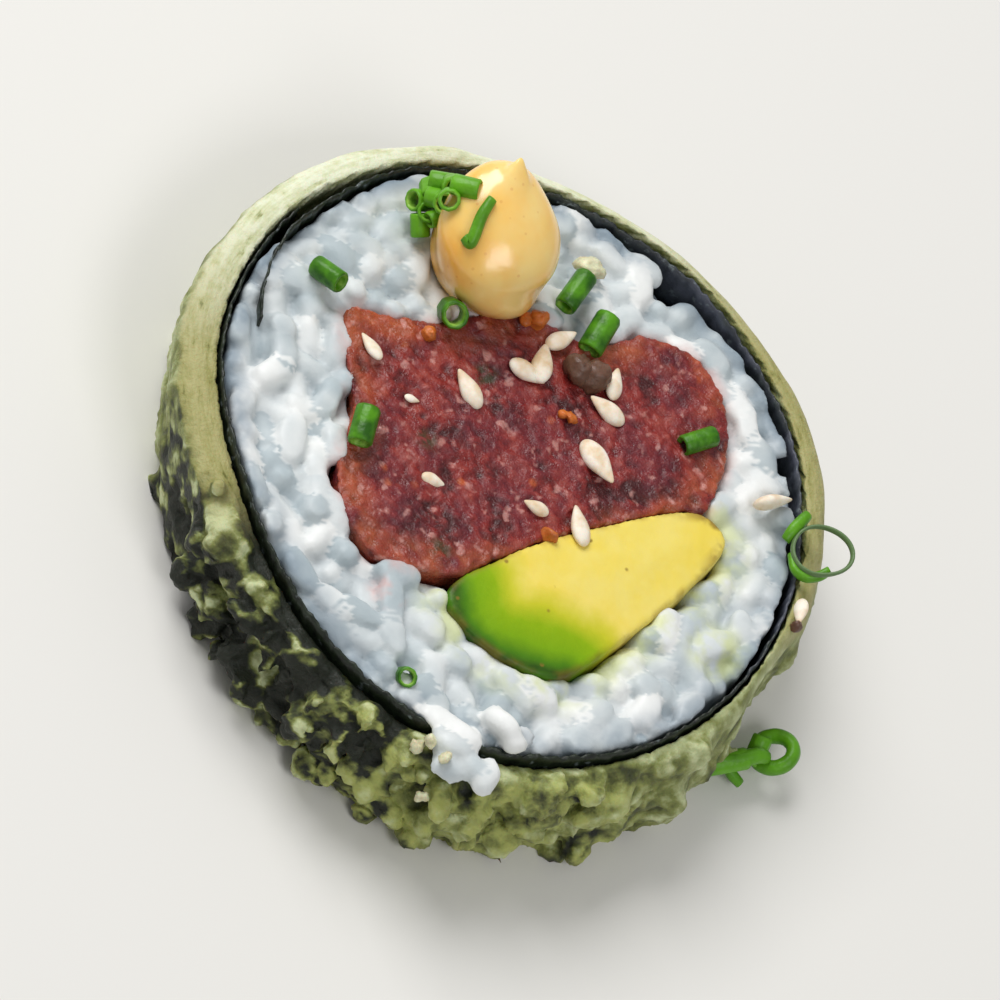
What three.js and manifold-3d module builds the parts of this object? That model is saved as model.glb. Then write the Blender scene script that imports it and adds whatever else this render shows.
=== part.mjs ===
// One slice of a deep-fried thick sushi roll, lying on its lower cut face with the other
// face up. A seaweed sheet holds rice round chopped raw tuna and a strip of avocado, a
// craggy batter crust wraps the sheet, and a dollop of spicy sauce, sesame seeds and cut
// chives lie on the upper face. Millimetres, +Z up, origin under the middle of the slice.

import * as THREE from 'three';
import { ImprovedNoise } from 'three/addons/math/ImprovedNoise.js';
import { mergeVertices } from 'three/addons/utils/BufferGeometryUtils.js';
import Module from 'manifold-3d';

const wasm = await Module();
wasm.setup();

// ---------------------------------------------------------------- driving dimensions

const SLICE_HEIGHT = 11;                 // between the two cut faces
const LEAN = { x: 1.8, y: 1.1 };         // the knife's slant: lower face against the upper
const CLEARANCE = 0.3;                   // between neighbouring pieces
const STEP_ANGLE = 30;                   // degrees between the values of the rings below
const BELOW = -10;                       // heights that no piece reaches
const ABOVE = 30;
const FLOOR_REACH = 60;
const CIRCLE_SIDES = 24;

// Seaweed: radius of its outer face round the roll's axis, from +X anticlockwise.
const SHEET_RADII = [23.9, 24.6, 25.5, 25.2, 24.5, 24.8, 24.9, 24.5, 23.2, 23.9, 24.6, 24.0];
const SHEET_THICKNESS = 0.6;
const SHEET_FOOT = 0.4;
const SHEET_TOP = SLICE_HEIGHT + 0.1;
const SHEET_STEPS = 88;
const SEAM_ANGLE = 203;                  // where the sheet's inner end starts, to lie clockwise from there
const SEAM_OVERLAP = 26;
const SEAM_MERGE = 56;                   // degrees until the inner end meets the ring
const SEAM_CURL = 2.5;                   // how far that end turns in, into the rice
const SEAM_BEND = 2;                     // how sharply it does
const SEAM_LAYER = SHEET_THICKNESS + 0.15;
const SEAM_STEPS = 12;

// Crust: thickness at the rim and at the foot, in the same steps as the seaweed.
const RIM_THICKNESS = [2.0, 2.5, 2.5, 1.6, 1.4, 2.5, 2.9, 3.8, 3.3, 2.2, 2.3, 1.9];
const FOOT_THICKNESS = [1.9, 2.5, 2.6, 2.4, 2.2, 2.6, 2.6, 2.0, 2.9, 1.6, 2.8, 1.8];
const RIM_RISE = 0.3;                    // the rim stands over the cut face on one side
const RIM_DIP = 1.7;                     // and falls below it on the other
const DIP_ANGLE = 285;
const CRUST_COLUMNS = 92;
const WALL_HEIGHTS = [1, 0.9, 0.78, 0.66, 0.55, 0.44, 0.33, 0.22, 0.11, 0];   // shares of the wall's height
const WALL_BULGE = 0.5;
const THIN_SPOT = { angle: 13, reach: 11, depth: 1.6 };   // where the sheet is nearly bare
const THINNEST_WALL = 0.9;
const RIM_CROWN = 1.02;                  // the rim is highest in its middle
const RIM_SHOULDER = { across: 0.93, height: 0.98 };
const RIM_GRAIN = { height: 0.35, size: 2.2, stretch: 9 };
const CREASE = { depth: 0.7, height: 0.55, width: 0.09, angle: 215 };   // dark crease half way down the wall
const CRAG = {
  height: 1.8, angle: 285, least: 0.35,  // angle: the side with the coarsest crags
  broadSize: 5.2, broadShare: 0.55, sharpSize: 2.6, sharpShare: 0.5, sharpness: 2.2, sink: 0.35,
};
const CRUMB = {
  count: 40, least: 0.9, most: 2.2, proud: 0.1, rest: 0.6, tilt: 50,
  coarseShare: 0.72, coarseArc: [228, 350], coarseHeight: [0.08, 0.8], otherHeight: [0.1, 0.9],
  length: [0.7, 1.25], width: [0.6, 1.1], thickness: [0.5, 0.95],
};
const BORE_MARGIN = 0.04;                // keeps the bore off the wall's own inner face

// Rice: a core just under the cut face, with whole grains lying on it.
const GRAIN = { length: 5.1, width: 2.7, thickness: 2.4 };
const GRAIN_SIZES = [0.86, 1.06];
const GRAIN_SIDES = 6;
const GRAIN_SPACING = 2.75;
const GRAIN_TRIES = 6000;
const GRAIN_TILT = 22;
const GRAIN_ROLL = 60;
const GRAIN_SINK = 0.5;
const RICE_REACH = 24.5;
const RICE_SIDES = 72;
const CORE_TOP = SLICE_HEIGHT - 0.7;
const SPILL = { x: 14.0, y: -22.4, reach: 5.2, rest: 10.2 };   // where grains lie over the rim
const SPILLED_GRAINS = [[-1.2, 1.8, 0.7], [0.4, 0.4, 0.5], [1.5, 1.4, 0.6], [-1.6, 0.2, 0.4], [0.6, -1.3, -0.2]];

// Fillings: outlines about the roll's axis, followed by smooth closed curves.
const TUNA_OUTLINE = [
  [9.6, 2.0], [12.4, 11.0], [9.4, 17.6], [4.6, 20.2], [0.2, 18.2], [-2.6, 13.4],
  [-7.6, 10.6], [-12.0, 3.0], [-16.6, -2.0], [-11.0, -7.6], [-7.6, -13.4],
  [-2.2, -15.6], [3.6, -10.8], [6.8, -5.0],
];
const TUNA_CENTRE = [-1.5, 2.5];
const TUNA_RINGS = [0.96, 0.82, 0.66, 0.5, 0.33, 0.16, 0];
const TUNA_CHOP = { height: 0.7, fine: 2.4, coarse: 4.5, coarseShare: 0.6 };
const TUNA_OVERHANG = 0.1;               // for what lies at its edge
const TUNA_SIDES = 42;
const AVOCADO_OUTLINE = [
  [16.0, 4.4], [15.3, 10.2], [12.6, 10.2], [8.2, 2.4], [5.0, -6.0], [3.9, -12.9],
  [6.0, -13.9], [9.8, -13.4], [13.9, -10.9], [15.5, -3.0],
];
const AVOCADO_CENTRE = [10.6, -1.6];
const AVOCADO_RINGS = [0.92, 0.6, 0.3, 0];
const AVOCADO_CROWN = { height: 0.35, reach: 5, stretch: 2.4 };
const AVOCADO_SIDES = 30;

// Sauce: half of the dollop's section, from its foot to its tip, and the tip's drag.
const SAUCE_SECTION = [
  [0, 0], [3.3, 0.1], [4.3, 1.2], [4.9, 2.8], [5.05, 4.6], [4.85, 6.2], [4.3, 7.4],
  [3.4, 8.4], [2.3, 9.1], [1.3, 9.6], [0.7, 10.1], [0, 10.6],
];
const SAUCE_ROWS = 15;
const SAUCE_SIDES = 20;
const SAUCE_PLACE = { x: -12.4, y: 10.4, z: SLICE_HEIGHT - 1.0 };
const SAUCE_DRAG = { x: -2.4, y: 3.1, from: 5.8, bend: 1.6 };
const SAUCE_SWELL = 0.04;
const SAUCE_TIP = 0.05;                  // thinnest radius of the tip
const SAUCE_FOOT = 3.4;                  // no grain's middle lies nearer to the dollop's
const SAUCE_CLEARANCE = 0.2;

// Chives: cut rings, with their place, turn and tilt in degrees, and length.
const CHIVE_RADIUS = 1.0;
const CHIVE_SIDES = 7;
const CHIVES_ON_TUNA = [
  { x: -9.2, y: -9.0, turn: 121, tilt: 12, length: 2.9 },
  { x: 8.4, y: 14.5, turn: 68, tilt: 8, length: 3.0 },
  { x: -2.6, y: 13.9, turn: 106, tilt: 15, length: 3.3 },
];
const CHIVES_ON_RICE = [
  { x: -19.4, y: -1.9, turn: -5, tilt: 25, length: 2.6 },
  { x: -19.6, y: 10.7, turn: 72, tilt: 25, length: 2.8 },
  { x: -18.1, y: 12.2, turn: 22, tilt: 30, length: 2.5 },
  { x: -18.5, y: 8.5, turn: 141, tilt: 10, length: 2.4 },
  { x: -11.1, y: 4.5, turn: -60, tilt: 50, length: 1.8 },
  { x: -6.2, y: 15.1, turn: 101, tilt: 12, length: 3.4 },
  { x: 6.4, y: -21.0, turn: -70, tilt: 60, length: 1.4 },
];
const CHIVES_ON_CRUST = [
  { x: 26.4, y: 1.6, z: 2.6, turn: 59, tilt: 12, length: 3.6 },
  { x: 27.4, y: 4.9, z: 2.2, turn: 120, tilt: 35, length: 2.4 },
];

// Sesame: teardrop seeds, with their place and turn.
const SEED = { length: 3.4, width: 1.6, thickness: 1.0 };
const SEED_TAPER = 0.55;
const SEED_SIDES = 5;
const SEEDS_ON_TUNA = [
  { x: -13.2, y: -2.9, turn: 3 }, { x: -6.2, y: 1.4, turn: 167 },
  { x: -4.2, y: 6.6, turn: 22 }, { x: -3.9, y: 8.2, turn: 121 },
  { x: 0.9, y: 12.2, turn: 117 }, { x: 2.0, y: 9.9, turn: 196 },
  { x: 4.4, y: 5.8, turn: -16 }, { x: 3.8, y: -1.6, turn: 208 },
  { x: -2.9, y: -6.8, turn: 34 }, { x: -4.3, y: 11.2, turn: 76 },
];
const SEEDS_ON_RICE = [{ x: 15.7, y: 15.8, turn: 62 }];

// How high the middles of the toppings lie over the face.
const REST = { chiveOnRice: 1.0, seedOnRice: 0.7, chiveOnTuna: 0.5, seedOnTuna: 0.2 };

const KERNEL_RINGS = 4;
const SEED_OF_RANDOM = 41;

// ---------------------------------------------------------------- small helpers

const perlin = new ImprovedNoise();
THREE.MathUtils.seededRandom(SEED_OF_RANDOM);
const random = (least = 0, most = 1) => least + (most - least) * THREE.MathUtils.seededRandom();
const between = ([least, most]) => random(least, most);
const radians = (degrees) => THREE.MathUtils.degToRad(degrees);
const noise = (x, y, z, size) => perlin.noise(x / size, y / size, z / size);

/** The value at a share of the way round, from values spaced evenly round a ring. */
function roundTheRing(values, share) {
  const place = THREE.MathUtils.euclideanModulo(share, 1) * values.length;
  const index = Math.floor(place) % values.length;
  const blend = THREE.MathUtils.smoothstep(place - Math.floor(place), 0, 1);
  return THREE.MathUtils.lerp(values[index], values[(index + 1) % values.length], blend);
}

/** 1 at an angle in degrees and 0 opposite it, for a share of the way round. */
function nearness(share, angle) {
  return 0.5 + 0.5 * Math.cos(2 * Math.PI * share - radians(angle));
}

function closedCurve(points) {
  return new THREE.CatmullRomCurve3(points.map(([x, y]) => new THREE.Vector3(x, y, 0)), true);
}

const sheetCurve = closedCurve(SHEET_RADII.map((radius, i) => {
  const angle = radians(i * STEP_ANGLE);
  return [radius * Math.cos(angle), radius * Math.sin(angle)];
}));

/** A point of the seaweed's outer face, moved outwards by an extra length. */
function besideSheet(share, extra) {
  const point = sheetCurve.getPoint(THREE.MathUtils.euclideanModulo(share, 1));
  return point.setLength(point.length() + extra);
}

function pointsOf(count, pointAt) {
  return Array.from({ length: count }, (_, i) => pointAt(i / count));
}

/** The points of a closed curve, moved outwards by a margin. */
function grownOutline(curve, margin, count) {
  return pointsOf(count, (share) => {
    const tangent = curve.getTangent(share);
    const outwards = new THREE.Vector3(tangent.y, -tangent.x, 0);
    return curve.getPoint(share).addScaledVector(outwards, margin);
  });
}

function isInside(x, y, outline) {
  let inside = false;
  outline.forEach((a, i) => {
    const b = outline[(i + 1) % outline.length];
    const crosses = (a.y > y) !== (b.y > y);
    if (crosses && x < ((b.x - a.x) * (y - a.y)) / (b.y - a.y) + a.x) inside = !inside;
  });
  return inside;
}

// ---------------------------------------------------------------- solids

/** Bare closed mesh with shared corners and its faces pointing out. */
function bare(geometry) {
  geometry.deleteAttribute('normal');
  geometry.deleteAttribute('uv');
  const merged = mergeVertices(geometry);
  const place = merged.getAttribute('position');
  const kept = [];
  let volume = 0;
  const [a, b, c] = [new THREE.Vector3(), new THREE.Vector3(), new THREE.Vector3()];
  for (let i = 0; i < merged.index.count; i += 3) {
    const corners = [0, 1, 2].map((k) => merged.index.getX(i + k));
    if (new Set(corners).size < 3) continue;
    kept.push(...corners);
    a.fromBufferAttribute(place, corners[0]);
    b.fromBufferAttribute(place, corners[1]);
    c.fromBufferAttribute(place, corners[2]);
    volume += a.dot(b.clone().cross(c));
  }
  merged.setIndex(volume < 0 ? kept.reverse() : kept);
  return merged;
}

/** Moves each corner of a geometry to the point that a rule gives for it. */
function reshape(geometry, rule) {
  const place = geometry.getAttribute('position');
  const corner = new THREE.Vector3();
  for (let i = 0; i < place.count; i += 1) {
    corner.fromBufferAttribute(place, i);
    const moved = rule(corner);
    place.setXYZ(i, moved.x, moved.y, moved.z);
  }
  return geometry;
}

function solid(geometry) {
  const mesh = bare(geometry);
  return new wasm.Manifold(new wasm.Mesh({
    numProp: 3,
    vertProperties: new Float32Array(mesh.getAttribute('position').array),
    triVerts: new Uint32Array(mesh.index.array),
  }));
}

/** The one largest closed piece, without loose scraps and sealed hollows. */
function largest(body) {
  return body.decompose().reduce((best, piece) => (piece.volume() > best.volume() ? piece : best));
}

function geometryOf(body) {
  const mesh = body.getMesh();
  const geometry = new THREE.BufferGeometry();
  geometry.setAttribute('position', new THREE.BufferAttribute(mesh.vertProperties, 3));
  geometry.setIndex(new THREE.BufferAttribute(mesh.triVerts, 1));
  return geometry;
}

function square(x, y, half) {
  const corners = [[-half, -half], [half, -half], [half, half], [-half, half]];
  return corners.map(([dx, dy]) => new THREE.Vector2(x + dx, y + dy));
}

function circle(x, y, radius) {
  return new THREE.EllipseCurve(x, y, radius, radius).getPoints(CIRCLE_SIDES).slice(1);
}

/** An upright column with the given outline, between two heights. */
function column(outline, bottom, top) {
  const shape = new THREE.Shape(outline.map((point) => new THREE.Vector2(point.x, point.y)));
  const geometry = new THREE.ExtrudeGeometry(shape, { depth: top - bottom, bevelEnabled: false });
  return solid(geometry.translate(0, 0, bottom));
}

/** A turned shape about +Z, from [radius, height] pairs. */
function turned(section, columns) {
  const points = section.map(([radius, height]) => new THREE.Vector2(radius, height));
  return bare(new THREE.LatheGeometry(points, columns).rotateX(Math.PI / 2));
}

/** A filling that runs through the slice: a turned disc drawn out to its outline. */
function filling(outline, centre, columns, rings, topAt) {
  const curve = closedCurve(outline);
  const rim = [[0, 0], [1, 0], [1, 0.5], [1, 0.95]];
  const face = rings.map((ring) => [ring, 1]);
  const [x, y] = centre;
  return reshape(turned([...rim, ...face], columns), (corner) => {
    const share = THREE.MathUtils.euclideanModulo(Math.atan2(corner.y, corner.x) / (2 * Math.PI), 1);
    const edge = curve.getPoint(share);
    const reach = Math.hypot(corner.x, corner.y);
    const moved = new THREE.Vector3(x + (edge.x - x) * reach, y + (edge.y - y) * reach, 0);
    moved.z = corner.z === 1 ? topAt(moved.x, moved.y) : corner.z * SLICE_HEIGHT;
    return moved;
  });
}

/** A long rounded grain or seed, pointed at one end by its taper, lying on +X. */
function kernel({ length, width, thickness }, taper, sides) {
  const ball = new THREE.SphereGeometry(0.5, sides, KERNEL_RINGS).rotateZ(Math.PI / 2);
  return reshape(ball, ({ x, y, z }) => {
    const narrowing = 1 - taper * (x + 0.5);
    return new THREE.Vector3(x * length, y * width * narrowing, z * thickness * narrowing);
  });
}

function laid(geometry, { x, y, z, turn, tilt = 0, roll = 0 }) {
  geometry.rotateX(radians(roll));
  geometry.rotateY(radians(-tilt));
  geometry.rotateZ(radians(turn));
  return solid(geometry.translate(x, y, z));
}

function chive({ length, ...place }) {
  const ring = new THREE.CylinderGeometry(CHIVE_RADIUS, CHIVE_RADIUS, length, CHIVE_SIDES);
  return laid(ring.rotateZ(Math.PI / 2), place);
}

const seed = (place) => laid(kernel(SEED, SEED_TAPER, SEED_SIDES), place);

function joined(base, pieces) {
  return pieces.reduce((whole, piece) => whole.add(piece), base);
}

// ---------------------------------------------------------------- seaweed sheet

/** How far the sheet lies inside the ring, at degrees from its inner end. */
function seamInset(fromStart) {
  const curl = Math.max(0, 1 - fromStart / SEAM_OVERLAP) ** SEAM_BEND;
  const layer = SEAM_LAYER * (1 - THREE.MathUtils.smoothstep(fromStart, SEAM_OVERLAP, SEAM_MERGE));
  return layer + (SEAM_CURL - SEAM_LAYER) * curl;
}

/** The strip of the sheet over an arc from its inner end, made thicker by a margin. */
function sheetStrip(arc, steps, margin) {
  const sideAt = (inset) => Array.from({ length: steps + 1 }, (_, i) => {
    const fromStart = (arc * i) / steps;
    return besideSheet((SEAM_ANGLE - fromStart) / 360, -seamInset(fromStart) - inset);
  });
  return [...sideAt(-margin), ...sideAt(SHEET_THICKNESS + margin).reverse()];
}

function seaweedSheet() {
  return column(sheetStrip(360 + SEAM_OVERLAP, SHEET_STEPS, 0), SHEET_FOOT, SHEET_TOP);
}

// ---------------------------------------------------------------- crust

function rimHeight(share) {
  return SLICE_HEIGHT + RIM_RISE - RIM_DIP * nearness(share, DIP_ANGLE) ** 2;
}

/** Radial reach of the crust beyond the seaweed, at a share round and up. */
function crustThickness(share, height) {
  const foot = roundTheRing(FOOT_THICKNESS, share);
  const rim = roundTheRing(RIM_THICKNESS, share);
  const crease = CREASE.depth * Math.exp(-(((height - CREASE.height) / CREASE.width) ** 2));
  const bulge = WALL_BULGE * Math.sin(Math.PI * height);
  const fromThin = THREE.MathUtils.euclideanModulo(share * 360 - THIN_SPOT.angle + 180, 360) - 180;
  const thin = THIN_SPOT.depth * Math.exp(-((fromThin / THIN_SPOT.reach) ** 2));
  return THREE.MathUtils.lerp(foot, rim, height) + bulge - thin - crease * nearness(share, CREASE.angle);
}

/** Relief of the fried batter: broad swellings with sharper crags on them. */
function crag(point, share) {
  const broad = noise(point.x, point.y, point.z, CRAG.broadSize);
  const sharp = 1 - Math.abs(noise(point.y, point.z, point.x, CRAG.sharpSize)) * CRAG.sharpness;
  const strength = THREE.MathUtils.lerp(CRAG.least, 1, nearness(share, CRAG.angle));
  return CRAG.height * strength * (CRAG.broadShare * broad + CRAG.sharpShare * sharp - CRAG.sink);
}

function crustWall() {
  const section = [
    [1, 0], [1, 1], [1.5, RIM_CROWN],
    ...WALL_HEIGHTS.map((height, i) => [
      i === 0 ? 1 + RIM_SHOULDER.across : 2, height * RIM_SHOULDER.height,
    ]),
    [1, 0],
  ];
  return solid(reshape(turned(section, CRUST_COLUMNS), (corner) => {
    const share = THREE.MathUtils.euclideanModulo(Math.atan2(corner.y, corner.x) / (2 * Math.PI), 1);
    const across = Math.hypot(corner.x, corner.y) - 1;
    const inner = besideSheet(share, CLEARANCE);
    const thickness = crustThickness(share, Math.min(corner.z, 1));
    const face = besideSheet(share, CLEARANCE + thickness).setZ(corner.z * SLICE_HEIGHT);
    const reach = Math.max(thickness + crag(face, share), THINNEST_WALL);
    const onRim = across > 0 && corner.z >= RIM_SHOULDER.height;
    const rough = onRim ? RIM_GRAIN.height * noise(face.x, face.y, across * RIM_GRAIN.stretch, RIM_GRAIN.size) : 0;
    return inner.setLength(inner.length() + reach * across).setZ(corner.z * rimHeight(share) + rough);
  }));
}

/** Scraps of batter fried onto the wall, most of them low on the coarse side. */
function crustCrumb() {
  const coarse = random() < CRUMB.coarseShare;
  const share = (coarse ? between(CRUMB.coarseArc) : random(0, 360)) / 360;
  const height = between(coarse ? CRUMB.coarseHeight : CRUMB.otherHeight);
  const size = random(CRUMB.least, CRUMB.most);
  const place = besideSheet(share, CLEARANCE + crustThickness(share, height) + CRUMB.proud * size);
  const scrap = new THREE.IcosahedronGeometry(size, 0);
  scrap.scale(between(CRUMB.length), between(CRUMB.width), between(CRUMB.thickness));
  return laid(scrap, {
    x: place.x,
    y: place.y,
    z: Math.max(height * SLICE_HEIGHT, size * CRUMB.rest),
    turn: random(0, 360),
    tilt: random(-CRUMB.tilt, CRUMB.tilt),
  });
}

/** All that lies within the crust's inner face, less a margin. */
function bore(margin) {
  return column(pointsOf(CRUST_COLUMNS, (share) => besideSheet(share, CLEARANCE - margin)), BELOW, ABOVE);
}

function tempuraCrust() {
  const crumbs = Array.from({ length: CRUMB.count }, crustCrumb);
  const body = joined(crustWall(), [...crumbs, ...CHIVES_ON_CRUST.map(chive)]);
  const underFloor = column(square(0, 0, FLOOR_REACH), BELOW, 0);
  const spill = circle(SPILL.x, SPILL.y, SPILL.reach + CLEARANCE);
  const underSpill = column(spill, SPILL.rest - CLEARANCE, ABOVE);
  return largest(body.subtract(bore(BORE_MARGIN)).subtract(underFloor).subtract(underSpill));
}

// ---------------------------------------------------------------- fillings and sauce

function tunaTop(x, y) {
  const { height, fine, coarse, coarseShare } = TUNA_CHOP;
  return SLICE_HEIGHT + height * (noise(x, y, SLICE_HEIGHT, fine) + coarseShare * noise(x, y, 0, coarse));
}

function avocadoTop(x, y) {
  const [cx, cy] = AVOCADO_CENTRE;
  const { height, reach, stretch } = AVOCADO_CROWN;
  return SLICE_HEIGHT + height * (1 - Math.hypot(x - cx, (y - cy) / stretch) / reach);
}

function avocadoStrip() {
  return filling(AVOCADO_OUTLINE, AVOCADO_CENTRE, AVOCADO_SIDES, AVOCADO_RINGS, avocadoTop);
}

function choppedTuna() {
  return filling(TUNA_OUTLINE, TUNA_CENTRE, TUNA_SIDES, TUNA_RINGS, tunaTop);
}

/** The sauce as piped: a round dollop whose tip is dragged towards the rim. */
function sauceDollop(margin) {
  const section = SAUCE_SECTION.map(([radius, height]) => new THREE.Vector2(radius, height));
  const curve = new THREE.SplineCurve(section).getSpacedPoints(SAUCE_ROWS);
  const top = curve[curve.length - 1].y;
  const pairs = curve.map((point, i) => [
    i === 0 || i === curve.length - 1 ? 0 : Math.max(point.x, SAUCE_TIP) + margin,
    point.y + margin * (2 * point.y / top - 1),
  ]);
  return solid(reshape(turned(pairs, SAUCE_SIDES), ({ x, y, z }) => {
    const drag = Math.max(0, (z - SAUCE_DRAG.from) / (top - SAUCE_DRAG.from)) ** SAUCE_DRAG.bend;
    const swell = 1 + SAUCE_SWELL * Math.sin(2 * Math.atan2(y, x) + z);
    return new THREE.Vector3(
      SAUCE_PLACE.x + x * swell + SAUCE_DRAG.x * drag,
      SAUCE_PLACE.y + y * swell + SAUCE_DRAG.y * drag,
      SAUCE_PLACE.z + z,
    );
  }));
}

// ---------------------------------------------------------------- rice

const tunaRoom = grownOutline(closedCurve(TUNA_OUTLINE), CLEARANCE, TUNA_SIDES);
const avocadoRoom = grownOutline(closedCurve(AVOCADO_OUTLINE), CLEARANCE, AVOCADO_SIDES);
const riceEdge = pointsOf(RICE_SIDES, (share) => besideSheet(share, -SHEET_THICKNESS - CLEARANCE));

/** Places for whole grains, no two closer than the spacing, clear of the fillings. */
function grainPlaces() {
  const places = [];
  for (let tries = 0; tries < GRAIN_TRIES; tries += 1) {
    const reach = RICE_REACH * Math.sqrt(random());
    const angle = random(0, 2 * Math.PI);
    const [x, y] = [reach * Math.cos(angle), reach * Math.sin(angle)];
    const onRice = isInside(x, y, riceEdge) && !isInside(x, y, tunaRoom) && !isInside(x, y, avocadoRoom);
    const underSauce = Math.hypot(x - SAUCE_PLACE.x, y - SAUCE_PLACE.y) < SAUCE_FOOT;
    const crowded = places.some((other) => Math.hypot(other.x - x, other.y - y) < GRAIN_SPACING);
    if (onRice && !underSauce && !crowded) places.push({ x, y });
  }
  return places;
}

function grain({ x, y, z }) {
  const size = between(GRAIN_SIZES);
  return laid(kernel(GRAIN, 0, GRAIN_SIDES).scale(size, size, size), {
    x, y, z, turn: random(0, 360), tilt: random(-GRAIN_TILT, GRAIN_TILT), roll: random(0, GRAIN_ROLL),
  });
}

/** Grains pushed over the edge of the sheet on the low side of the crust. */
function spilledGrains() {
  return SPILLED_GRAINS.map(([x, y, z]) => grain({ x: SPILL.x + x, y: SPILL.y + y, z: SHEET_TOP + z }));
}

function rice() {
  const grains = grainPlaces().map(({ x, y }) => grain({ x, y, z: CORE_TOP - random(0, GRAIN_SINK) }));
  const toppings = [
    ...CHIVES_ON_RICE.map((place) => chive({ ...place, z: SLICE_HEIGHT + REST.chiveOnRice })),
    ...SEEDS_ON_RICE.map((place) => seed({ ...place, z: SLICE_HEIGHT + REST.seedOnRice })),
  ];
  const core = column(riceEdge, 0, CORE_TOP);
  const body = joined(core, [...grains, ...spilledGrains(), ...toppings]);
  const spill = circle(SPILL.x, SPILL.y, SPILL.reach);
  const overSheet = column(spill, SHEET_TOP + CLEARANCE, ABOVE);
  const overCrust = column(spill, SPILL.rest, ABOVE).subtract(bore(0));
  const room = column(riceEdge, BELOW, ABOVE).add(overSheet).add(overCrust);
  const seam = column(sheetStrip(SEAM_MERGE, SEAM_STEPS, CLEARANCE), BELOW, ABOVE);
  const fillings = column(tunaRoom, BELOW, ABOVE).add(column(avocadoRoom, BELOW, ABOVE));
  return largest(
    body.intersect(room).subtract(fillings).subtract(seam).subtract(sauceDollop(SAUCE_CLEARANCE)),
  );
}

function tuna() {
  const toppings = [
    ...CHIVES_ON_TUNA.map((place) => chive({ ...place, z: tunaTop(place.x, place.y) + REST.chiveOnTuna })),
    ...SEEDS_ON_TUNA.map((place) => seed({ ...place, z: tunaTop(place.x, place.y) + REST.seedOnTuna })),
  ];
  const body = joined(solid(choppedTuna()), toppings);
  const rim = column(grownOutline(closedCurve(TUNA_OUTLINE), TUNA_OVERHANG, TUNA_SIDES), BELOW, ABOVE);
  const inside = body.intersect(rim).subtract(column(avocadoRoom, BELOW, ABOVE));
  return largest(inside.subtract(sauceDollop(SAUCE_CLEARANCE)));
}

// ---------------------------------------------------------------- the slice

/** The knife's slant: every height is shifted in proportion to its depth. */
const slant = new THREE.Matrix4().set(
  1, 0, -LEAN.x / SLICE_HEIGHT, LEAN.x,
  0, 1, -LEAN.y / SLICE_HEIGHT, LEAN.y,
  0, 0, 1, 0,
  0, 0, 0, 1,
);

function piece(name, body, colour, roughness) {
  const material = new THREE.MeshStandardMaterial({ color: colour, roughness, metalness: 0 });
  const mesh = new THREE.Mesh(geometryOf(body).applyMatrix4(slant), material);
  mesh.name = name;
  return mesh;
}

const slice = new THREE.Group();
slice.add(
  piece('tempura_crust', tempuraCrust(), '#8f9457', 0.75),
  piece('seaweed_sheet', seaweedSheet(), '#10160f', 0.5),
  piece('rice', rice(), '#dfe4e6', 0.45),
  piece('tuna', tuna(), '#8a2f33', 0.35),
  piece('avocado', solid(avocadoStrip()), '#d9cf5b', 0.4),
  piece('sauce_dollop', sauceDollop(0), '#f3b45f', 0.3),
);

const extent = new THREE.Box3().setFromObject(slice);
const middle = extent.getCenter(new THREE.Vector3());
slice.position.set(-middle.x, -middle.y, -extent.min.z);

export default slice;
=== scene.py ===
"""One slice of a deep-fried thick sushi roll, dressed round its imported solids.

The slice lies on its lower cut face. A seaweed sheet holds rice round chopped tuna and a strip of
avocado, a craggy batter crust wraps the sheet, and a dollop of sauce, cut chives and sesame seeds
lie on the upper face. Lists of places are in millimetres about the roll's axis, +Z up from the
lower cut face; settings and meshes are in metres.
"""

import math

import bmesh
import bpy
import numpy as np
from bpy.props import FloatProperty, FloatVectorProperty, IntProperty, PointerProperty
from bpy.types import Operator, Panel, PropertyGroup
from mathutils import Matrix, Vector
from mathutils.bvhtree import BVHTree
from mathutils.kdtree import KDTree


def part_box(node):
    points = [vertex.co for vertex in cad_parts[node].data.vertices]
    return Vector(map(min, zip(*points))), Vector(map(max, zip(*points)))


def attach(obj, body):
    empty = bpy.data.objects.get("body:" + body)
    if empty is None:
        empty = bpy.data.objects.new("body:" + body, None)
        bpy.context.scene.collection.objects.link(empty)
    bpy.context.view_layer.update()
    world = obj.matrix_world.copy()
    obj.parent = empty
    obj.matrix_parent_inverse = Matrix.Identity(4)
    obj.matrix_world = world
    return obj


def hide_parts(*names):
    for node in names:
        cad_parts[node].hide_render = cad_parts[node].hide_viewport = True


bl_info = {
    "name": "Tempura Maki Slice",
    "version": (1, 0, 0),
    "blender": (4, 5, 0),
    "location": "3D View > Sidebar > Maki",
    "description": "Makes the crust, seaweed, rice, fillings and toppings of one slice of fried sushi roll",
    "category": "Add Mesh",
}

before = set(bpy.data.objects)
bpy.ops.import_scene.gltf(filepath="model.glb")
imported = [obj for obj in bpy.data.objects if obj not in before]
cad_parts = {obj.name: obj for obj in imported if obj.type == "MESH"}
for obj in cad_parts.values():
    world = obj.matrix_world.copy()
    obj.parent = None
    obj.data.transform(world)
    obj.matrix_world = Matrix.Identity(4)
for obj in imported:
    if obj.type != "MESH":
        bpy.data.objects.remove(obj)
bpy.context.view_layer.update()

MM = 0.001
CM2_IN_M2 = 1e4
HEIGHT = 11.0                       # between the two cut faces
LEAN = np.array([1.8, 1.1])         # the knife's slant: lower face against the upper

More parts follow.
